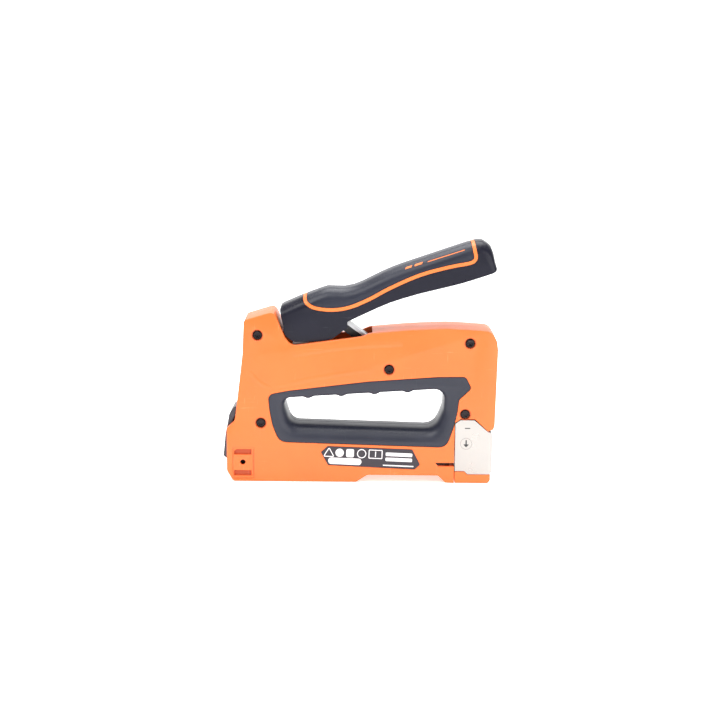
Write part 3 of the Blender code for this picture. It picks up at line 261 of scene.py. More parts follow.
def wire(name: str, line: np.ndarray, radius: float, sides: int = 12) -> bpy.types.Object:
    """Round wire: W(u, v) = line(u) + radius (cos v normal(u) + sin v binormal(u)).

    The normal points away from the middle of the whole line, less its part along the wire, so the wire
    doesn't twist.

    Args:
        name: Name of the new object.
        line: Points of the wire's centre line.
        radius: Radius of the wire.
        sides: Points around it.

    Returns:
        The wire as a closed solid.
    """
    along = np.gradient(line, axis=0)
    along /= np.linalg.norm(along, axis=1)[:, None]
    outward = line - line.mean(axis=0)
    outward -= along * (outward * along).sum(axis=1)[:, None]
    normal = outward / np.linalg.norm(outward, axis=1)[:, None]
    binormal = np.cross(along, normal)
    turn = np.linspace(0, TAU, sides, endpoint=False)
    ring = np.cos(turn)[None, :, None] * normal[:, None] + np.sin(turn)[None, :, None] * binormal[:, None]
    return surface(name, line[:, None] + radius * ring, closed_v=True, caps=True)


# ---------------------------------------------------------------- shader groups


class Graph:
    """Short calls for building a node tree."""

    def __init__(self, tree: bpy.types.NodeTree) -> None:
        """Holds the tree that the calls add to."""
        self.tree = tree

    def node(self, kind: str, inputs: dict | None = None, **settings: object) -> bpy.types.Node:
        """Adds a node.

        Args:
            kind: Blender's type name of the node.
            inputs: Input name or number, with a constant or an output socket to link.
            settings: Properties of the node itself.

        Returns:
            The node.
        """
        made = self.tree.nodes.new(kind)
        for key, value in settings.items():
            setattr(made, key, value)
        for key, value in (inputs or {}).items():
            self.feed(made.inputs[key], value)
        return made

    def feed(self, socket: bpy.types.NodeSocket, value: object) -> None:
        """Links an output to a socket, or sets its constant.

        Args:
            socket: The input socket.
            value: An output socket, or the constant.
        """
        if isinstance(value, bpy.types.NodeSocket):
            self.tree.links.new(value, socket)
        else:
            socket.default_value = value

    def group(self, tree: bpy.types.NodeTree, inputs: dict) -> bpy.types.Node:
        """A shared effect's group node, with its inputs."""
        return self.node("ShaderNodeGroup", inputs, node_tree=tree)

    def math(self, operation: str, *values: object) -> bpy.types.NodeSocket:
        """Adds a Math node.

        Args:
            operation: Blender's name of the operation.
            values: Its inputs in order, each a constant or an output socket.

        Returns:
            The result's socket.
        """
        made = self.node("ShaderNodeMath", operation=operation)
        for socket, value in zip(made.inputs, values):
            self.feed(socket, value)
        return made.outputs[0]

    def noise(
        self, vector: object, scale: object, detail: float, roughness: float = 0.55
    ) -> bpy.types.NodeSocket:
        """A Noise Texture's factor at a place, with its scale, detail and roughness."""
        inputs = {"Vector": vector, "Scale": scale, "Detail": detail, "Roughness": roughness}
        return self.node("ShaderNodeTexNoise", inputs).outputs["Fac"]

    def ramp(
        self, value: object, low: float, high: float, to_low: float = 0.0, to_high: float = 1.0
    ) -> bpy.types.NodeSocket:
        """Carries a value smoothly from one range to another and holds it at the ends.

        Args:
            value: The value or its socket.
            low: Where the first range starts.
            high: Where it ends.
            to_low: The result at and below low.
            to_high: The result at and above high.

        Returns:
            The result's socket.
        """
        inputs = {"Value": value, 1: low, 2: high, 3: to_low, 4: to_high}
        made = self.node("ShaderNodeMapRange", inputs, interpolation_type="SMOOTHSTEP")
        return made.outputs[0]

    def mix(self, share: object, first: object, second: object) -> bpy.types.NodeSocket:
        """A colour between two colours: the first where the share is 0, the second where it is 1."""
        made = self.node("ShaderNodeMix", {0: share, 6: first, 7: second}, data_type="RGBA")
        return made.outputs[2]


def new_group(
    name: str, inputs: dict[str, float | None], outputs: tuple[str, ...]
) -> tuple[Graph, bpy.types.Node, bpy.types.Node]:
    """Starts a shader node group.

    Args:
        name: Name of the group.
        inputs: Input names with a default number, or None for a vector.
        outputs: Names of the float outputs.

    Returns:
        The group's graph, its input node and its output node.
    """
    tree = bpy.data.node_groups.new(name, "ShaderNodeTree")
    for label, default in inputs.items():
        kind = "NodeSocketVector" if default is None else "NodeSocketFloat"
        socket = tree.interface.new_socket(label, in_out="INPUT", socket_type=kind)
        if default is not None:
            socket.default_value = default
    for label in outputs:
        tree.interface.new_socket(label, in_out="OUTPUT", socket_type="NodeSocketFloat")
    graph = Graph(tree)
    return graph, graph.node("NodeGroupInput"), graph.node("NodeGroupOutput")


def moulded_grain() -> bpy.types.NodeTree:
    """Group: the fine spark-eroded texture of a mould and the slow change of tone over a moulding.

    Returns:
        The group's node tree.
    """
    graph, given, result = new_group("moulded_grain", {"Vector": None, "Scale": 1500.0}, ("Height", "Mottle"))
    cells = graph.node(
        "ShaderNodeTexVoronoi", {"Vector": given.outputs["Vector"], "Scale": given.outputs["Scale"]}
    ).outputs["Distance"]
    fine = graph.noise(given.outputs["Vector"], graph.math("MULTIPLY", given.outputs["Scale"], 1.7), 2.0)
    height = graph.math("MULTIPLY_ADD", cells, 0.6, graph.math("MULTIPLY", fine, 0.7))
    graph.feed(result.inputs["Height"], height)
    slow = graph.noise(given.outputs["Vector"], 38.0, 4.0)
    graph.feed(result.inputs["Mottle"], graph.ramp(slow, 0.3, 0.72))
    return graph.tree


def handling_wear() -> bpy.types.NodeTree:
    """Group: short hairline scuffs in two directions, gathered into patches by a slow noise.

    Returns:
        The group's node tree.
    """
    graph, given, result = new_group("handling_wear", {"Vector": None, "Scale": 1.0, "Reach": 0.5}, ("Mask",))
    lines = []
    for turn, stretch in ((0.5, (60.0, 60.0, 1500.0)), (-0.9, (1300.0, 90.0, 70.0))):
        placed = graph.node(
            "ShaderNodeMapping",
            {"Vector": given.outputs["Vector"], "Rotation": (0.0, turn, 0.3), "Scale": stretch},
        ).outputs[0]
        lines.append(graph.ramp(graph.noise(placed, given.outputs["Scale"], 2.0, 0.4), 0.66, 0.74))
    patches = graph.ramp(graph.noise(given.outputs["Vector"], 60.0, 3.0), 0.5, 0.72)
    mask = graph.math("MULTIPLY", graph.math("MAXIMUM", *lines), patches)
    graph.feed(result.inputs["Mask"], graph.math("MULTIPLY", mask, given.outputs["Reach"]))
    return graph.tree


def settled_dust() -> bpy.types.NodeTree:
    """Group: fine dust where the surface faces up, broken by noise.

    Returns:
        The group's node tree.
    """
    graph, given, result = new_group("settled_dust", {"Vector": None, "Amount": 0.1}, ("Mask",))
    normal = graph.node("ShaderNodeNewGeometry").outputs["Normal"]
    upward = graph.node("ShaderNodeSeparateXYZ", {0: normal}).outputs["Z"]
    specks = graph.ramp(graph.noise(given.outputs["Vector"], 900.0, 4.0, 0.7), 0.45, 0.7)
    drift = graph.ramp(graph.noise(given.outputs["Vector"], 55.0, 2.0), 0.3, 0.7, 0.3, 1.0)
    mask = graph.math("MULTIPLY", graph.math("MULTIPLY", graph.ramp(upward, 0.2, 0.95), specks), drift)
    graph.feed(result.inputs["Mask"], graph.math("MULTIPLY", mask, given.outputs["Amount"]))
    return graph.tree


def drawn_grain() -> bpy.types.NodeTree:
    """Group: the rolling or drawing lines of steel, long along one direction of the piece.

    Returns:
        The group's node tree.
    """
    graph, given, result = new_group("drawn_grain", {"Vector": None, "Scale": 1.0}, ("Height", "Tone"))
    placed = graph.node(
        "ShaderNodeMapping", {"Vector": given.outputs["Vector"], "Scale": (2600.0, 2600.0, 45.0)}
    ).outputs[0]
    graph.feed(result.inputs["Height"], graph.noise(placed, given.outputs["Scale"], 3.0))
    slow = graph.noise(given.outputs["Vector"], 70.0, 5.0, 0.6)
    graph.feed(result.inputs["Tone"], graph.ramp(slow, 0.25, 0.75))
    return graph.tree


class SharedEffects:
    """The shader groups, each built once."""

    def __init__(self) -> None:
        """Builds the groups that more than one material uses."""
        self.grain = moulded_grain()
        self.wear = handling_wear()
        self.dust = settled_dust()
        self.drawn = drawn_grain()


EFFECTS = SharedEffects()


# ---------------------------------------------------------------- finishes


@dataclass(frozen=True)
class Finish:
    """A surface finish: the colours and numbers that the shared effects take on it.

    The grain's depth is in metres, and its scale is in grains for each metre.
    """

    name: str
    colour: tuple[float, float, float, float]
    shade: tuple[float, float, float, float]
    roughness: float = 0.4
    metallic: float = 0.0
    grain_scale: float = 1500.0
    grain_depth: float = 0.00002
    wear: float = 0.3
    wear_colour: tuple[float, float, float, float] = (0.8, 0.8, 0.8, 1.0)
    dust: float = 0.08
    specular: float = 0.5
    coat: float = 0.0
    coat_roughness: float = 0.3
    drawn: bool = False

    def material(self) -> bpy.types.Material:
        """The finish's material, built once."""
        return bpy.data.materials.get(self.name) or self.build()

    def build(self) -> bpy.types.Material:
        """Builds the node tree: grain, then mottle, scuffs and dust over the base colour.

        Returns:
            The new material.
        """
        material = bpy.data.materials.new(self.name)
        material.use_nodes = True
        graph = Graph(material.node_tree)
        shader = material.node_tree.nodes["Principled BSDF"]
        place = graph.node("ShaderNodeTexCoord").outputs["Object"]
        if self.drawn:
            grain = graph.group(EFFECTS.drawn, {"Vector": place})
            tone = grain.outputs["Tone"]
        else:
            grain = graph.group(EFFECTS.grain, {"Vector": place, "Scale": self.grain_scale})
            tone = grain.outputs["Mottle"]
        wear = graph.group(EFFECTS.wear, {"Vector": place, "Reach": self.wear})
        dust = graph.group(EFFECTS.dust, {"Vector": place, "Amount": self.dust})
        colour = graph.mix(tone, self.shade, self.colour)
        colour = graph.mix(wear.outputs["Mask"], colour, self.wear_colour)
        colour = graph.mix(dust.outputs["Mask"], colour, GREY_DUST)
        rough = graph.math("MULTIPLY_ADD", tone, 0.07, self.roughness - 0.035)
        rough = graph.math("MULTIPLY_ADD", wear.outputs["Mask"], 0.2, rough)
        rough = graph.math("MULTIPLY_ADD", dust.outputs["Mask"], 0.4, rough)
        height = graph.math("MULTIPLY_ADD", wear.outputs["Mask"], -0.6, grain.outputs["Height"])
        bump = graph.node("ShaderNodeBump", {"Height": height, "Distance": self.grain_depth, "Strength": 1.0})
        graph.feed(shader.inputs["Base Color"], colour)
        graph.feed(shader.inputs["Roughness"], rough)
        graph.feed(shader.inputs["Normal"], bump.outputs[0])
        shader.inputs["Metallic"].default_value = self.metallic
        shader.inputs["Specular IOR Level"].default_value = self.specular
        shader.inputs["Coat Weight"].default_value = self.coat
        shader.inputs["Coat Roughness"].default_value = self.coat_roughness
        material.diffuse_color = self.colour
        return material


ORANGE_SHELL = Finish(
    "orange_moulding",
    colour=(0.87, 0.168, 0.028, 1),
    shade=(0.85, 0.154, 0.024, 1),
    roughness=0.34,
    wear_colour=(0.95, 0.42, 0.18, 1),
    wear=0.35,
    grain_depth=0.000014,
)
# Darker orange that paints shade onto the housing: the floors of the rear slots, a shadow line beside them
# and rings around the screw heads.
ORANGE_PAINTED_SHADE = Finish(
    "orange_painted_shade",
    colour=(0.50, 0.075, 0.012, 1),
    shade=(0.42, 0.060, 0.010, 1),
    roughness=0.5,
    wear=0.1,
)
ORANGE_TRIM = Finish(
    "orange_trim",
    colour=(0.86, 0.20, 0.035, 1),
    shade=(0.80, 0.17, 0.028, 1),
    roughness=0.42,
    wear_colour=(0.9, 0.4, 0.2, 1),
)
GRIP_RUBBER = Finish(
    "soft_grip",
    colour=(0.018, 0.020, 0.035, 1),
    shade=(0.014, 0.016, 0.029, 1),
    roughness=0.38,
    grain_scale=1300.0,
    grain_depth=0.000009,
    wear=0.2,
    wear_colour=(0.09, 0.09, 0.11, 1),
    dust=0.05,
    specular=0.46,
)
COVER_RUBBER = Finish(
    "soft_cover",
    colour=(0.014, 0.016, 0.030, 1),
    shade=(0.010, 0.012, 0.024, 1),
    roughness=0.37,
    grain_scale=1300.0,
    grain_depth=0.000012,
    wear=0.2,
    wear_colour=(0.10, 0.10, 0.12, 1),
    specular=0.38,
)
DARK_SHELL = Finish(
    "dark_moulding",
    colour=(0.008, 0.008, 0.018, 1),
    shade=(0.006, 0.006, 0.014, 1),
    roughness=0.3,
    grain_depth=0.000012,
    wear=0.3,
    wear_colour=(0.08, 0.08, 0.10, 1),
    specular=0.26,
)
LATCH_SHELL = Finish(
    "latch_moulding",
    colour=(0.045, 0.038, 0.052, 1),
    shade=(0.034, 0.028, 0.040, 1),
    roughness=0.26,
    grain_depth=0.000008,
    wear=0.3,
    wear_colour=(0.16, 0.15, 0.17, 1),
)
DARK_INNER = Finish(
    "inner_moulding",
    colour=(0.030, 0.030, 0.034, 1),
    shade=(0.02, 0.02, 0.024, 1),
    roughness=0.5,
    wear=0.1,
)
BUMPER_RUBBER = Finish(
    "bumper_rubber",
    colour=(0.03, 0.03, 0.03, 1),
    shade=(0.02, 0.02, 0.02, 1),
    roughness=0.75,
    wear=0.1,
)
NOSE_STEEL = Finish(
    "nickelled_sheet",
    colour=(0.45, 0.43, 0.41, 1),
    shade=(0.45, 0.425, 0.40, 1),
    roughness=0.3,
    metallic=1.0,
    grain_depth=0.000004,
    wear=0.4,
    wear_colour=(0.38, 0.37, 0.36, 1),
    dust=0.05,
    drawn=True,
)
PLAIN_STEEL = Finish(
    "zinc_steel",
    colour=(0.62, 0.62, 0.63, 1),
    shade=(0.48, 0.48, 0.50, 1),
    roughness=0.34,
    metallic=1.0,
    grain_depth=0.000006,
    wear=0.5,
    wear_colour=(0.35, 0.35, 0.36, 1),
    dust=0.05,
    drawn=True,
)
SPRING_STEEL = Finish(
    "spring_wire",
    colour=(0.42, 0.41, 0.40, 1),
    shade=(0.28, 0.27, 0.27, 1),
    roughness=0.3,
    metallic=1.0,
    grain_depth=0.000004,
    wear=0.2,
    dust=0.03,
    drawn=True,
)
SCREW_STEEL = Finish(
    "blacked_screw",
    colour=(0.034, 0.028, 0.029, 1),
    shade=(0.018, 0.015, 0.016, 1),
    roughness=0.2,
    metallic=1.0,
    grain_depth=0.000004,
    wear=0.6,
    wear_colour=(0.2, 0.19, 0.18, 1),
    dust=0.02,
    drawn=True,
)
# Dark steel for the rocker and the follower, and for the link, where the dark colour is painted shade: the
# link is bright steel that sits in shadow.
BLACK_STEEL_AND_SHADE = Finish(
    "blacked_steel_and_painted_shade",
    colour=(0.030, 0.030, 0.033, 1),
    shade=(0.018, 0.018, 0.020, 1),
    roughness=0.33,
    metallic=0.6,
    grain_depth=0.000006,
    wear=0.5,
    wear_colour=(0.22, 0.22, 0.22, 1),
    drawn=True,
)
LABEL_FILM = Finish(
    "label_film",
    colour=(0.022, 0.017, 0.026, 1),
    shade=(0.018, 0.014, 0.022, 1),
    grain_depth=0.000006,
    wear=0.2,
    wear_colour=(0.2, 0.2, 0.22, 1),
    coat=0.1,
)
WHITE_INK = Finish(
    "white_ink",
    colour=(0.86, 0.85, 0.86, 1),
    shade=(0.80, 0.79, 0.80, 1),
    roughness=0.42,
    grain_depth=0.000004,
    wear=0.15,
)
FAINT_INK = Finish(
    "faint_pressing",
    colour=(0.17, 0.165, 0.16, 1),
    shade=(0.14, 0.135, 0.13, 1),
    roughness=0.5,
    wear=0.1,
)
SHADOW_INK = Finish(
    "stamped_mark",
    colour=(0.05, 0.05, 0.052, 1),
    shade=(0.03, 0.03, 0.032, 1),
    roughness=0.5,
    wear=0.1,
)


def dress(obj: bpy.types.Object, body: Body, slot: Slot, finish: Finish, *nodes: str) -> bpy.types.Object:
    """Gives a new piece its material and body, and hides the CAD nodes that it stands for.

    Args:
        obj: The new piece.
        body: The body that it rides on.
        slot: Its material slot; not used.
        finish: Its finish.
        nodes: The CAD nodes that it stands for, or none where it only adds to them.

    Returns:
        The same piece.
    """
    obj.data.materials.clear()
    obj.data.materials.append(finish.material())
    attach(obj, body.value)
    if nodes:
        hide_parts(*nodes)
    LOG.info("%s: %d faces, on %s", obj.name, len(obj.data.polygons), body.value)
    return obj


def carry_over(finish: Finish, *nodes: str) -> None:
    """Puts a finish on CAD nodes that show their own shape.

    Args:
        finish: The finish.
        nodes: The CAD nodes.
    """
    for node in nodes:
        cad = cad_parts[node]
        cad.data.materials.clear()
        cad.data.materials.append(finish.material())
        LOG.info("%s: carried over, %s", node, finish.name)


# ---------------------------------------------------------------- flat work on the side faces


def line_normals(points: np.ndarray, closed: bool) -> np.ndarray:
    """Unit normals of a path in X and Z, to its right as it is followed.

    Args:
        points: Points of the path, as rows of (x, z).
        closed: Whether the last point joins the first.

    Returns:
        One normal for each point.
    """
    if closed:
        along = np.roll(points, -1, axis=0) - np.roll(points, 1, axis=0)
    else:
        along = np.gradient(points, axis=0)
    normals = np.stack([along[:, 1], -along[:, 0]], axis=1)
    return normals / np.linalg.norm(normals, axis=1)[:, None]


def stood_up(flat: np.ndarray, depth: np.ndarray) -> np.ndarray:
    """Grid of points (x, y, z) from a grid of (x, z) and its Y."""
    return np.stack([flat[..., 0], np.broadcast_to(depth, flat.shape[:2]), flat[..., 1]], axis=-1)


def ring_points(x: float, z: float, radius: float, count: int = 48) -> np.ndarray:
    """Points of a circle: centre + radius (cos a, sin a)."""
    angle = np.linspace(0, TAU, count, endpoint=False)
    return np.stack([x + radius * np.cos(angle), z + radius * np.sin(angle)], axis=1)


def rounded_box(x: float, z: float, half_length: float, half_height: float, radius: float) -> np.ndarray:
    """Outline of a rectangle about (x, z) with round corners."""
    corners = ((-1, -1), (1, -1), (1, 1), (-1, 1))
    return arc_outline([(x + a * half_length, z + b * half_height, radius) for a, b in corners])


def arc_outline(corners: list[tuple[float, float, float]], step: float = 8.0) -> np.ndarray:
    """Points of a closed outline with round corners.

    Each corner is the arc that touches both sides: centre + radius (cos a, sin a), a from one tangent
    point to the other.

    Args:
        corners: (x, z, radius) of each corner, in order.
        step: Degrees between two points of an arc, or fewer.

    Returns:
        The points, as rows of (x, z).
    """
    result = []
    for index, (x, z, radius) in enumerate(corners):
        here = np.array([x, z])
        back = np.array(corners[index - 1][:2]) - here
        ahead = np.array(corners[(index + 1) % len(corners)][:2]) - here
        long_back, long_ahead = np.linalg.norm(back), np.linalg.norm(ahead)
        back, ahead = back / long_back, ahead / long_ahead
        half = math.acos(float(np.clip(back @ ahead, -1, 1))) / 2
        reach = min(radius / math.tan(half), 0.48 * long_back, 0.48 * long_ahead)
        radius = reach * math.tan(half)
        centre = here + (back + ahead) / np.linalg.norm(back + ahead) * radius / math.sin(half)
        start = here + back * reach - centre
        end = here + ahead * reach - centre
        turn = math.atan2(start[0] * end[1] - start[1] * end[0], float(start @ end))
        angle = np.linspace(0, turn, max(3, int(abs(math.degrees(turn)) / step) + 2))[:, None]
        across = np.array([-start[1], start[0]])
        result.append(centre + start * np.cos(angle) + across * np.sin(angle))
    return np.vstack(result)


def plaque(name: str, outline: np.ndarray, back: float, face: float, soft: float) -> bpy.types.Object:
    """A flat raised shape on the side face, with a softened rim.

    Q(u, v) = outline(v) - inset(u) normal(v), at depth(u): the inset runs a quarter circle at the face.

    Args:
        name: Name of the new object.
        outline: Closed outline in X and Z.
        back: Y of its back.
        face: Y of its face.
        soft: Radius of the rim.

    Returns:
        The new object.
    """
    sign = math.copysign(1.0, face - back)
    bend = np.radians(np.linspace(0, 90, 4))
    inset = np.concatenate([[0.0], soft * (1 - np.cos(bend))])
    depth = np.concatenate([[back], face - sign * soft * (1 - np.sin(bend))])
    flat = outline[None] - inset[:, None, None] * line_normals(outline, True)[None]
    return surface(name, stood_up(flat, depth[:, None]), closed_v=True, caps=True)


def band(
    name: str, line: np.ndarray, width: float, back: float, face: float, closed: bool = True
) -> bpy.types.Object:
    """A flat line on the side face: a low profile carried along a path.

    B(u, v) = line(u) + across(v) normal(u), at depth(v): the profile is a flat bar with a crowned face.

    Args:
        name: Name of the new object.
        line: Its middle line in X and Z.
        width: Width of the bar.
        back: Y of its back.
        face: Y of its face.
        closed: Whether the line is a closed loop.

    Returns:
        The new object.
    """
    across = np.array([-0.5, -0.5, -0.36, 0.0, 0.36, 0.5, 0.5]) * width
    rise = np.array([0.0, 0.6, 0.9, 1.0, 0.9, 0.6, 0.0])
    flat = line[:, None] + across[None, :, None] * line_normals(line, closed)[:, None]
    grid = stood_up(flat, back + (face - back) * rise)
    return surface(name, grid, closed_u=closed, closed_v=True, caps=not closed)


# ---------------------------------------------------------------- housing


@dataclass
class HousingShell:
    """The two orange halves of the body, their soft grips, and the screws."""

    edge_radius: float = 0.25
    grip_radius: float = 0.3
    grip_sharp_degrees: float = 50.0
    shadow_ring_radius: float = 3.85
    shadow_ring_width: float = 0.5
    slot_inset: float = 4.9
    slot_length: float = 12.2
    slot_depth: float = 2.4
    slot_gap: float = 0.15
    slot_rows: tuple[tuple[float, float], ...] = ((18.7, 22.6), (3.8, 7.7))
    panel_depth: float = 0.8
    panel_gap: float = 1.1
    panel_shadow_line: float = 0.4
    swell_height: float = 0.16
    swell_width: float = 4.4
    swell_sink: float = 0.004
    head_radius: float = 3.1
    head_height: float = 1.7
    head_round: float = 0.7
    shank_radius: float = 1.4
    socket_radius: float = 1.7
    socket_depth: float = 1.1
    socket_lobe: float = 0.13
    chamfer: float = 0.3

    def build(self) -> None:
        """Makes and dresses every piece of the housing."""
        for side, sign in (("right", -1), ("left", 1)):
            half = merged(f"{side}_housing", f"{side}_shell", self.edge_radius)
            dress(half, Body.HOUSING, Slot.HOUSING, ORANGE_SHELL, f"{side}_housing")
            grip = merged(f"{side}_grip", f"{side}_soft_grip", self.grip_radius, self.grip_sharp_degrees)
            dress(grip, Body.HOUSING, Slot.GRIP, GRIP_RUBBER, f"{side}_grip")
            for number, crease in enumerate(self.creases(f"{side}_grip")):
                swell = self.swell(f"{side}_swell_{number}", crease, sign)
                dress(swell, Body.HOUSING, Slot.HOUSING, ORANGE_SHELL)
            # Painted shade at the rear slots: darker floors in them and a painted shadow line beside them.
            for piece in self.painted_slot_shade(side, sign):
                dress(piece, Body.HOUSING, Slot.HOUSING, ORANGE_PAINTED_SHADE)
        face = low_corner("right_housing")[1]
        for node in ("screw_horn", "screw_beam", "screw_front_top", "screw_rear", "screw_front_low"):
            dress(self.screw(node), Body.HOUSING, Slot.SCREWS, SCREW_STEEL, node)
            # A darker orange ring around each counterbore: a painted contact shadow around the screw head.
            x, _, z = middle(node)
            circle = ring_points(x, z, self.shadow_ring_radius)
            rim = band(f"{node}_rim", circle, self.shadow_ring_width, face + 0.1, face - 0.02)
            dress(rim, Body.HOUSING, Slot.HOUSING, ORANGE_PAINTED_SHADE)

    def painted_slot_shade(self, side: str, sign: int) -> list[bpy.types.Object]:
        """Makes painted shade for the two slots low at the rear: a darker floor in each, and a fine painted
        shadow line beside them.

        Args:
            side: "right" or "left".
            sign: The side's direction in Y.

        Returns:
            The two painted shade floors and the painted shadow line.
        """
        face = high_corner("left_housing")[1]
        rear = low_corner(f"{side}_housing")[0] + self.slot_inset
        front = rear + self.slot_length
        floor = sign * (face - self.slot_depth)
        half_length = self.slot_length / 2 - self.slot_gap
        made = []
        # Each slot gets a darker floor: painted shade standing in for the shade deep in the slot.
        for name, (low, high) in zip(("upper", "lower"), self.slot_rows):
            half_height = (high - low) / 2 - self.slot_gap
            outline = rounded_box((rear + front) / 2, (low + high) / 2, half_length, half_height, 0.3)
            name = f"{side}_{name}_slot_painted_shade"
            made.append(plaque(name, outline, floor - sign * 0.2, floor + sign * 0.02, 0.01))
        # A thin darker line along the panel's step in front of the slots: a painted shadow line.
        panel = sign * (face - self.panel_depth)
        top, base = self.slot_rows[0][1], self.slot_rows[1][0]
        line = np.array([[front + self.panel_gap, z] for z in (base, (base + top) / 2, top)])
        back, crown = panel - sign * 0.05, panel + sign * 0.02
        made.append(band(f"{side}_panel_shadow_line", line, self.panel_shadow_line, back, crown, closed=False))
        return made

    @staticmethod
    def creases(grip: str) -> list[np.ndarray]:
        """Middle lines of the soft contours around the grip, as smooth curves in X and Z.

        Each is a quadratic curve a (1-t)^2 + 2 b t (1-t) + c t^2, hung on the grip's box.

        Args:
            grip: The CAD node of the grip.

        Returns:
            The points of each curve, as rows of (x, z).
        """
        rear, top = low_corner(grip)[0], high_corner(grip)[2]
        front = high_corner(grip)[0]
        share = np.linspace(0, 1, 40)[:, None]
        curves = (
            ((rear + 15.6, top + 13.9), (rear + 51.6, top + 21.8), (front - 46.5, top + 22.4)),
            ((rear + 2.5, top - 8.3), (rear + 40.7, top + 1.2), (rear + 75.0, top + 5.2)),
            ((rear - 13.2, top + 2.5), (rear - 7.1, top - 6.6), (rear + 2.5, top - 8.8)),
        )
        return [
            np.array(a) * (1 - share) ** 2 + 2 * np.array(b) * share * (1 - share) + np.array(c) * share**2
            for a, b, c in curves
        ]

    def swell(self, name: str, line: np.ndarray, sign: int) -> bpy.types.Object:
        """A very low rounded swelling on the side face, which fades out at both ends.

        S(u, v) = line(u) + width v normal(u), raised by height sqrt(sin pi u) (1 + cos 2 pi v) / 2, with u
        from 0 to 1 and v from -1/2 to 1/2. Its edges lie just under the face.

        Args:
            name: Name of the new object.
            line: Its middle line in X and Z.
            sign: The side's direction in Y.

        Returns:
            The new object, an open sheet.
        """
        face = sign * (high_corner("left_housing")[1] - self.swell_sink)
        across = np.linspace(-0.5, 0.5, 17)
        fade = np.sin(np.linspace(0, math.pi, len(line))) ** 0.5
        rise = self.swell_height * fade[:, None] * (1 + np.cos(TAU * across))[None] / 2
        normals = line_normals(line, False)
        flat = line[:, None] + self.swell_width * across[None, :, None] * normals[:, None]
        return surface(name, stood_up(flat, face + sign * rise))

    def screw(self, node: str) -> bpy.types.Object:
        """A socket screw: a turned profile whose socket is drawn in and out six times around.

        S(u, v) = axis + r(u) (1 + lobe(u) cos 6v) (cos v, sin v), at Y = h(u).

        Args:
            node: The CAD node of the screw.

        Returns:
            The new object.
        """
        top, tip = low_corner(node)[1], high_corner(node)[1]
        x, _, z = middle(node)
        head, socket, shank = self.head_radius, self.socket_radius, self.shank_radius
        floor, seat, rim = top + self.socket_depth, top + self.head_height, self.head_round
        bend = np.radians(np.linspace(0, 90, 6))
        rounded = np.stack([head - rim + rim * np.sin(bend), top + rim - rim * np.cos(bend)], axis=1)
        profile = np.vstack(
            [
                [[0.0, floor + 0.15], [socket * 0.55, floor + 0.05], [socket * 0.98, floor]],
                [[socket, top + 0.12], [socket * 1.1, top]],
                rounded,
                [[head, seat], [shank, seat + 0.05], [shank, tip - self.chamfer]],
                [[shank - self.chamfer, tip], [0.0, tip]],
            ]
        )
        lobes = np.zeros(len(profile))
        lobes[1:5] = self.socket_lobe
        turn = np.linspace(0, TAU, 60, endpoint=False)
        spread = profile[:, :1] * (1 + lobes[:, None] * np.cos(6 * turn))
        flat = np.stack([x + spread * np.cos(turn), z + spread * np.sin(turn)], axis=-1)
        return surface(f"{node}_fine", stood_up(flat, profile[:, 1:]), closed_v=True)


# ---------------------------------------------------------------- label


@dataclass
class SideLabel:
    """The dark inset plate with plain white marks that only mean sizes and shapes in general.

    The marks are placed from the middle of the plate, along it and up.
    """

    plate_radius: float = 0.08
    ink_height: float = 0.04
    ink_radius: float = 0.02
    line: float = 0.6
    tilt: float = -2.1
    row: float = 2.6
    row_places: tuple[float, ...] = (-28.8, -21.4, -14.2, -6.2, 3.4)
    sign_half: float = 2.9

    def build(self) -> None:
        """Makes the plate and its marks."""
        plate = merged("label_plate", "label_plate_fine", self.plate_radius)
        dress(plate, Body.HOUSING, Slot.LABEL, LABEL_FILM, "label_plate")
        for mark in self.marks():
            dress(mark, Body.HOUSING, Slot.LABEL, WHITE_INK)

    def placed(self, outline: np.ndarray) -> np.ndarray:
        """Turns an outline by the label's tilt and moves it to the label's middle.

        Args:
            outline: Points along the label and up, from its middle.

        Returns:
            The points in X and Z.
        """
        turn = math.radians(self.tilt)
        matrix = np.array([[math.cos(turn), math.sin(turn)], [-math.sin(turn), math.cos(turn)]])
        return outline @ matrix + middle("label_plate")[[0, 2]]

    def marks(self) -> list[bpy.types.Object]:
        """Makes the printed shapes: five plain signs in a row, a long pill below, and three bars in front.

        Returns:
            The marks.
        """
        z, half = self.row, self.sign_half
        first, second, third, fourth, fifth = self.row_places
        corners = [(first - 3.5, z - half, 0.5), (first + 3.5, z - half, 0.5), (first, z + 3.2, 0.5)]
        filled = {
            "mark_disc": ring_points(second, z, half),
            "mark_tile": rounded_box(third, z, 2.7, half, 1.2),
            "mark_pill": rounded_box(-17.6, -3.3, 11.5, 2.3, 2.28),
            "mark_bar_top": rounded_box(19.6, 3.0, 9.2, 1.25, 0.7),
            "mark_bar_middle": rounded_box(19.6, -0.6, 9.2, 1.25, 0.7),
            "mark_bar_low": rounded_box(19.4, -4.9, 10.6, 0.42, 0.35),
            "mark_divider": rounded_box(fifth, z, 0.3, 2.0, 0.2),
        }
        drawn = {
            "mark_triangle": arc_outline(corners),
            "mark_ring": ring_points(fourth, z, half),
            "mark_frame": rounded_box(fifth, z, 4.5, half, 0.4),
        }
        face = low_corner("label_plate")[1]
        back, ink = face + 0.02, face - self.ink_height
        made = [plaque(name, self.placed(flat), back, ink, self.ink_radius) for name, flat in filled.items()]
        made += [band(name, self.placed(flat), self.line, back, ink) for name, flat in drawn.items()]
        return made


# ---------------------------------------------------------------- nose


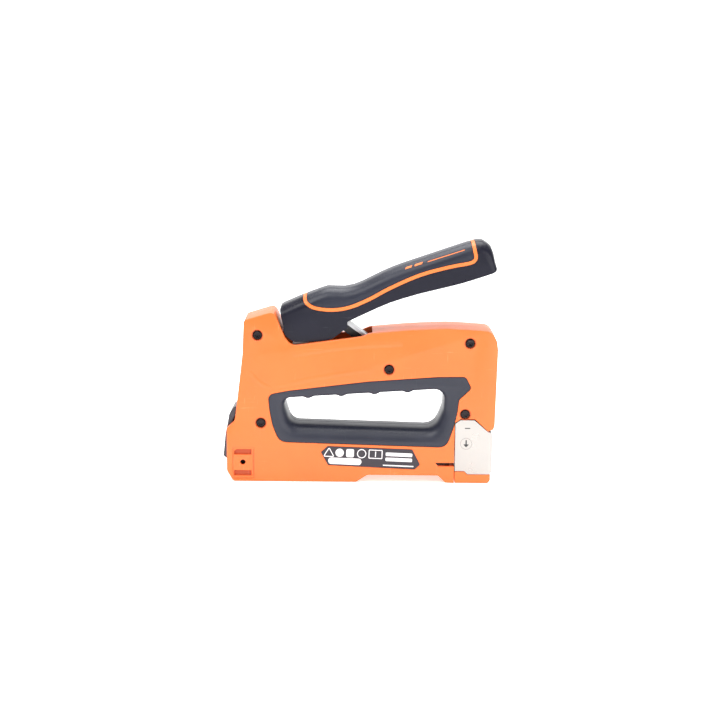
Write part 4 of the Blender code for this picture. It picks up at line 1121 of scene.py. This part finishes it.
@dataclass
class Nose:
    """The folded steel plate and the plastic foot under it."""

    plate_radius: float = 0.22
    foot_radius: float = 0.3
    arrow_inset: float = 7.6
    arrow_lift: float = 21.6
    arrow_half: tuple[float, float] = (2.1, 2.6)
    stem_half: float = 0.45
    barb_drop: float = 0.4
    ring_radius: float = 3.9
    ring_line: float = 0.22
    dash_half: tuple[float, float] = (1.9, 0.35)
    dash_drop: float = 5.6
    ink_height: float = 0.05
    ink_radius: float = 0.03

    def build(self) -> None:
        """Makes the plate, the foot and the small pressed marks on the plate."""
        plate = merged("nose_plate", "nose_plate_fine", self.plate_radius)
        dress(plate, Body.HOUSING, Slot.NOSE_PLATE, NOSE_STEEL, "nose_plate")
        foot = merged("nose_base", "nose_foot", self.foot_radius)
        dress(foot, Body.HOUSING, Slot.NOSE_BASE, ORANGE_SHELL, "nose_base")
        low, high = low_corner("nose_plate"), high_corner("nose_plate")
        x, z = low[0] + self.arrow_inset, low[2] + self.arrow_lift
        dash = rounded_box(x + 0.8, high[2] - self.dash_drop, *self.dash_half, 0.3)
        for name, side in (("right", low[1]), ("left", high[1])):
            lift = math.copysign(self.ink_height, side)
            back, face = side - lift, side + lift
            arrow = plaque(f"{name}_arrow", self.arrow(x, z), back, face, self.ink_radius)
            dress(arrow, Body.HOUSING, Slot.NOSE_PLATE, SHADOW_INK)
            circle = ring_points(x, z, self.ring_radius)
            ring = band(f"{name}_arrow_ring", circle, self.ring_line, back, face)
            dress(ring, Body.HOUSING, Slot.NOSE_PLATE, FAINT_INK)
            mark = plaque(f"{name}_dash", dash, back, face, self.ink_radius)
            dress(mark, Body.HOUSING, Slot.NOSE_PLATE, SHADOW_INK)

    def arrow(self, x: float, z: float) -> np.ndarray:
        """Outline of an arrow that points down.

        Args:
            x: Its middle in X.
            z: Its middle in Z.

        Returns:
            The points, as rows of (x, z).
        """
        across, up = self.arrow_half
        stem, barb = self.stem_half, z - self.barb_drop
        corners = [
            (x - stem, z + up, 0.2),
            (x - stem, barb, 0.1),
            (x - across, barb, 0.25),
            (x, z - up, 0.25),
            (x + across, barb, 0.25),
            (x + stem, barb, 0.1),
            (x + stem, z + up, 0.2),
        ]
        return arc_outline(corners)


# ---------------------------------------------------------------- lever


@dataclass
class Lever:
    """The long lever: hard shell, soft top cover and the coloured line between them."""

    sharp_degrees: float = 42.0
    dash_inset: float = 46.5
    dash_drop: float = 20.4
    dash_rows: tuple[tuple[float, float, float], ...] = ((0.0, 4.2, 1.6), (6.2, 11.4, 1.6), (15.0, 40.0, 0.8))
    dash_slope: float = 0.33
    dash_lean: float = 0.6
    inlay_slant: float = 10.0
    inlay_half: float = 0.04
    inlay_grid: tuple[int, int] = (25, 5)

    def build(self) -> None:
        """Makes and dresses the lever's pieces."""
        shell = merged("lever_shell", "lever_hard_shell", sharp_degrees=self.sharp_degrees)
        dress(shell, Body.LEVER, Slot.LEVER_SHELL, DARK_SHELL, "lever_shell")
        cover = merged("lever_cover", "lever_soft_cover", sharp_degrees=self.sharp_degrees)
        dress(cover, Body.LEVER, Slot.LEVER_COVER, COVER_RUBBER, "lever_cover")
        trim = merged("lever_trim", "lever_coloured_line", sharp_degrees=self.sharp_degrees)
        dress(trim, Body.LEVER, Slot.LEVER_TRIM, ORANGE_TRIM, "lever_trim")
        for name, sign in (("right", -1), ("left", 1)):
            for number, corners in enumerate(self.dashes()):
                patch = self.inlay(f"{name}_dash_{number}", cover, corners, sign)
                dress(patch, Body.LEVER, Slot.LEVER_COVER, ORANGE_TRIM)
        carry_over(PLAIN_STEEL, "lever_frame", "link_pin")

    def dashes(self) -> list[np.ndarray]:
        """The plain slanted dashes printed near the tip of the cover.

        Returns:
            The four corners of each, as rows of (x, z).
        """
        high = high_corner("lever_cover")
        origin = np.array([high[0] - self.dash_inset, high[2] - self.dash_drop])
        slope, lean = self.dash_slope, self.dash_lean
        made = []
        for start, end, height in self.dash_rows:
            low = [[start, slope * start], [end, slope * end]]
            top = [[end + lean, slope * end + height], [start + lean, slope * start + height]]
            made.append(origin + np.array(low + top))
        return made

    def inlay(self, name: str, target: bpy.types.Object, corners: np.ndarray, sign: int) -> bpy.types.Object:
        """A thin printed patch that follows the surface under it.

        I(u, v) = the point of the target met from the side and slightly above, over the four-sided area
        (1-u)(1-v) a + u (1-v) b + u v c + (1-u) v d, moved out along the target's normal.

        Args:
            name: Name of the new object.
            target: The object that it is printed on.
            corners: The area's corners a, b, c and d, as (x, z) in millimetres.
            sign: -1 to come from the right, 1 from the left.

        Returns:
            The patch as a thin closed sheet.
        """
        tree = BVHTree.FromObject(target, bpy.context.evaluated_depsgraph_get())
        slant = math.radians(self.inlay_slant)
        ray = Vector((0.0, -sign * math.cos(slant), -math.sin(slant)))
        a, b, c, d = corners
        u = np.linspace(0, 1, self.inlay_grid[0])[:, None, None]
        v = np.linspace(0, 1, self.inlay_grid[1])[None, :, None]
        area = (1 - u) * (1 - v) * a + u * (1 - v) * b + u * v * c + (1 - u) * v * d
        # A ray cast takes one point at a time, so this is the one loop over points.
        hits = [tree.ray_cast(Vector((x, 0.0, z)) * MM - ray * 0.2, ray) for x, z in area.reshape(-1, 2)]
        if any(place is None for place, *_ in hits):
            raise ValueError(f"{name} runs off {target.name}")
        places = np.array([place for place, *_ in hits]).reshape(*self.inlay_grid, 3) / MM
        normals = np.array([normal for _, normal, *_ in hits]).reshape(*self.inlay_grid, 3)
        outer, inner = places + normals * self.inlay_half, places - normals * self.inlay_half
        return surface(name, np.concatenate([outer, inner[:, ::-1]], axis=1), closed_v=True, caps=True)


# ---------------------------------------------------------------- mechanism and magazine


@dataclass
class Mechanism:
    """Everything that moves between the lever and the blade, with its springs."""

    latch_radius: float = 0.5
    link_radius: float = 3.6
    link_lip: float = 2.2

    def build(self) -> None:
        """Dresses the steel and plastic pieces and makes the springs as fine wire."""
        carry_over(PLAIN_STEEL, "pivot_pin", "rocker_pin", "rocker_link_pin", "driver_blade", "pusher_rod")
        carry_over(PLAIN_STEEL, "latch_pin", "pivot_bracket", "magazine_channel", "driver_guide")
        # The link gets the dark finish as painted shade for the shadow it sits in; only its web face keeps
        # bright steel.
        carry_over(BLACK_STEEL_AND_SHADE, "rocker", "link", "follower")
        carry_over(DARK_INNER, "plunger", "spring_seat", "magazine_cap")
        carry_over(BUMPER_RUBBER, "bumper")
        latch = merged("magazine_latch", "latch_button", self.latch_radius)
        dress(latch, Body.LATCH, Slot.LATCH, LATCH_SHELL, "magazine_latch")
        dress(self.link_web(), Body.LINK, Slot.LINK, PLAIN_STEEL)
        power = self.coil("power_spring", Body.HOUSING, Axis.Z, thickness=1.4, turns=9)
        self.shorten(power, "power_spring", "plunger_lift", Axis.Z)
        pushing = self.coil("follower_spring", Body.FOLLOWER, Axis.X, thickness=0.8, turns=16)
        self.shorten(pushing, "follower_spring", "follower_slide", Axis.X)
        self.coil("latch_spring", Body.PUSHER, Axis.X, thickness=0.5, turns=3.5)
        self.coil("return_spring", Body.LEVER, Axis.Y, thickness=1.1, turns=5.5, centre="pivot_pin")

    def link_web(self) -> bpy.types.Object:
        """The bright rolled face on the link's web: a thin sheet that turns down over both of its edges.

        W(u, v) = line(u) + across(v) along Y + rise(v) along the web's normal, from pin to pin.

        Returns:
            The new object.
        """
        low, high = low_corner("link"), high_corner("link")
        radius, lip = self.link_radius, self.link_lip
        rear = np.array([low[0] + radius, high[2] - radius])
        front = np.array([high[0] - radius, low[2] + radius])
        along = (front - rear) / np.linalg.norm(front - rear)
        normal = np.array([-along[1], along[0]])
        half, inner = high[1] + 0.12, high[1] - 0.05
        over = np.array([half, half, half - 0.1, half - 0.5, 0.0])
        lift = np.array([-lip, -0.3, 0.04, 0.12, 0.12])
        across = np.concatenate([-over, over[-2::-1], [inner, inner, -inner, -inner]])
        rise = radius + np.concatenate([lift, lift[-2::-1], [-lip, -0.05, -0.05, -lip]])
        share = np.linspace(0, 1, 9)[:, None, None]
        flat = rear + (front - rear) * share + rise[None, :, None] * normal
        return surface("link_web_face", stood_up(flat, across), closed_v=True, caps=True)

    @staticmethod
    def coil(
        node: str, body: Body, axis: Axis, thickness: float, turns: float, centre: str | None = None
    ) -> bpy.types.Object:
        """A coil spring in its CAD node's box, along one axis.

        Args:
            node: The CAD node that it stands for.
            body: The body that it rides on.
            axis: The coil's direction.
            thickness: Diameter of the wire.
            turns: Number of turns.
            centre: A node whose middle the coil goes around, or None for the middle of its own box.

        Returns:
            The wire.
        """
        low, high = low_corner(node), high_corner(node)
        start, end = middle(centre or node), middle(centre or node)
        start[axis], end[axis] = low[axis] + thickness / 2, high[axis] - thickness / 2
        across = [other for other in Axis if other != axis]
        reach = min(min(high[n] - start[n], start[n] - low[n]) for n in across)
        line = helix_line(start, end, reach - thickness / 2, turns)
        return dress(wire(f"{node}_wire", line, thickness / 2), body, Slot.SPRINGS, SPRING_STEEL, node)

    @staticmethod
    def shorten(spring: bpy.types.Object, node: str, joint: str, axis: Axis) -> None:
        """Gives a coil its own copy of its mesh; nothing here makes it shorten towards its high end as its
        slide travels.

        Args:
            spring: The wire.
            node: The CAD node whose box would give the coil's length; not used.
            joint: The slide that presses it; not used.
            axis: The coil's direction; not used.
        """
        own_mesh(spring)


# ---------------------------------------------------------------- studio


@dataclass
class Studio:
    """A plain pale floor, soft lamps and the camera. Its lamps, aim and frame are in metres."""

    floor_drop: float = 0.08
    floor_half_width: float = 4200.0
    floor_front: float = -3500.0
    floor_bend: tuple[float, float] = (1400.0, 1200.0)
    floor_top: float = 4200.0
    paper: tuple[float, float] = (0.93, 0.95)
    paper_glow: float = 0.55
    sky: float = 0.55
    frame_width: float = 0.497
    lens: float = 85.0
    elevation: float = 10.3
    roll: float = 0.5
    aim: tuple[float, float, float] = (0.0, -0.006, 0.084)

    def build(self) -> None:
        """Sets up the floor, the world, the lamps and the camera."""
        self.floor()
        self.world()
        self.lamp("key", (-0.35, -0.75, 0.85), size=0.6, power=6.0)
        self.lamp("top", (0.05, 0.12, 1.0), size=0.8, power=12.0)
        self.lamp("front", (0.6, -1.0, 0.3), size=0.6, power=3.0)
        self.camera()

    def floor(self) -> None:
        """A wide white floor that curves up far behind, as one swept sheet.

        F(u, v) = a straight line in Y, then a quarter circle up, then a straight line in Z, carried along X.
        """
        start, radius = self.floor_bend
        bend = np.radians(np.linspace(0, 90, 13))
        y = np.concatenate([[self.floor_front], start + radius * np.sin(bend), [start + radius]])
        z = np.concatenate([[0.0], radius * (1 - np.cos(bend)), [self.floor_top]]) - self.floor_drop
        x = np.linspace(-self.floor_half_width, self.floor_half_width, 5)
        across, height = np.meshgrid(x, z)
        sheet = surface("studio_floor", stood_up(np.stack([across, height], axis=-1), y[:, None]))
        material = bpy.data.materials.new("studio_paper")
        material.use_nodes = True
        graph = Graph(material.node_tree)
        shader = material.node_tree.nodes["Principled BSDF"]
        place = graph.node("ShaderNodeTexCoord").outputs["Object"]
        tone = graph.ramp(graph.noise(place, 6.0, 3.0), 0.3, 0.7)
        dull, bright = ((grey, grey, grey, 1) for grey in self.paper)
        graph.feed(shader.inputs["Base Color"], graph.mix(tone, dull, bright))
        shader.inputs["Roughness"].default_value = 0.9
        shader.inputs["Specular IOR Level"].default_value = 0.1
        shader.inputs["Emission Color"].default_value = WHITE
        shader.inputs["Emission Strength"].default_value = self.paper_glow
        sheet.data.materials.append(material)

    def world(self) -> None:
        """A plain sky of even light, which shows as white behind the paper."""
        world = bpy.data.worlds.new("studio_light")
        world.use_nodes = True
        graph = Graph(world.node_tree)
        shade = world.node_tree.nodes["Background"]
        shade.inputs["Color"].default_value = WHITE
        shown = graph.node("ShaderNodeLightPath").outputs["Is Camera Ray"]
        strength = graph.math("MULTIPLY_ADD", shown, 1.0 - self.sky, self.sky)
        graph.feed(shade.inputs["Strength"], strength)
        bpy.context.scene.world = world

    def lamp(self, name: str, place: tuple[float, float, float], size: float, power: float) -> None:
        """A square soft lamp that faces the object.

        Args:
            name: Its name.
            place: Its middle, in metres.
            size: Length of its sides, in metres.
            power: Its power in watts.
        """
        data = bpy.data.lights.new(name, "AREA")
        data.size = size
        data.energy = power
        lamp = bpy.data.objects.new(name, data)
        lamp.location = place
        aim = Vector(self.aim) - Vector(place)
        lamp.rotation_euler = aim.to_track_quat("-Z", "Y").to_euler()
        bpy.context.scene.collection.objects.link(lamp)

    def camera(self) -> None:
        """The camera, at the distance where the frame is as wide as asked at the object."""
        data = bpy.data.cameras.new("camera")
        data.lens = self.lens
        distance = self.frame_width * self.lens / data.sensor_width
        elevation = math.radians(self.elevation)
        back = Vector((0.0, -math.cos(elevation), math.sin(elevation)))
        camera = bpy.data.objects.new("camera", data)
        camera.location = Vector(self.aim) + back * distance
        roll = Quaternion((0, 0, 1), math.radians(self.roll))
        camera.rotation_mode = "QUATERNION"
        camera.rotation_quaternion = (-back).to_track_quat("-Z", "Y") @ roll
        data.clip_start, data.clip_end = 0.01, 100.0
        bpy.context.scene.collection.objects.link(camera)
        bpy.context.scene.camera = camera
        settings = bpy.context.scene.view_settings
        settings.view_transform = "Standard"
        settings.look = "None"


def main() -> None:
    """Builds the sub-assemblies in order."""
    for part in (HousingShell(), SideLabel(), Nose(), Lever(), Mechanism(), Studio()):
        LOG.info("--- %s", type(part).__name__)
        part.build()


if __name__ == "__main__":
    main()
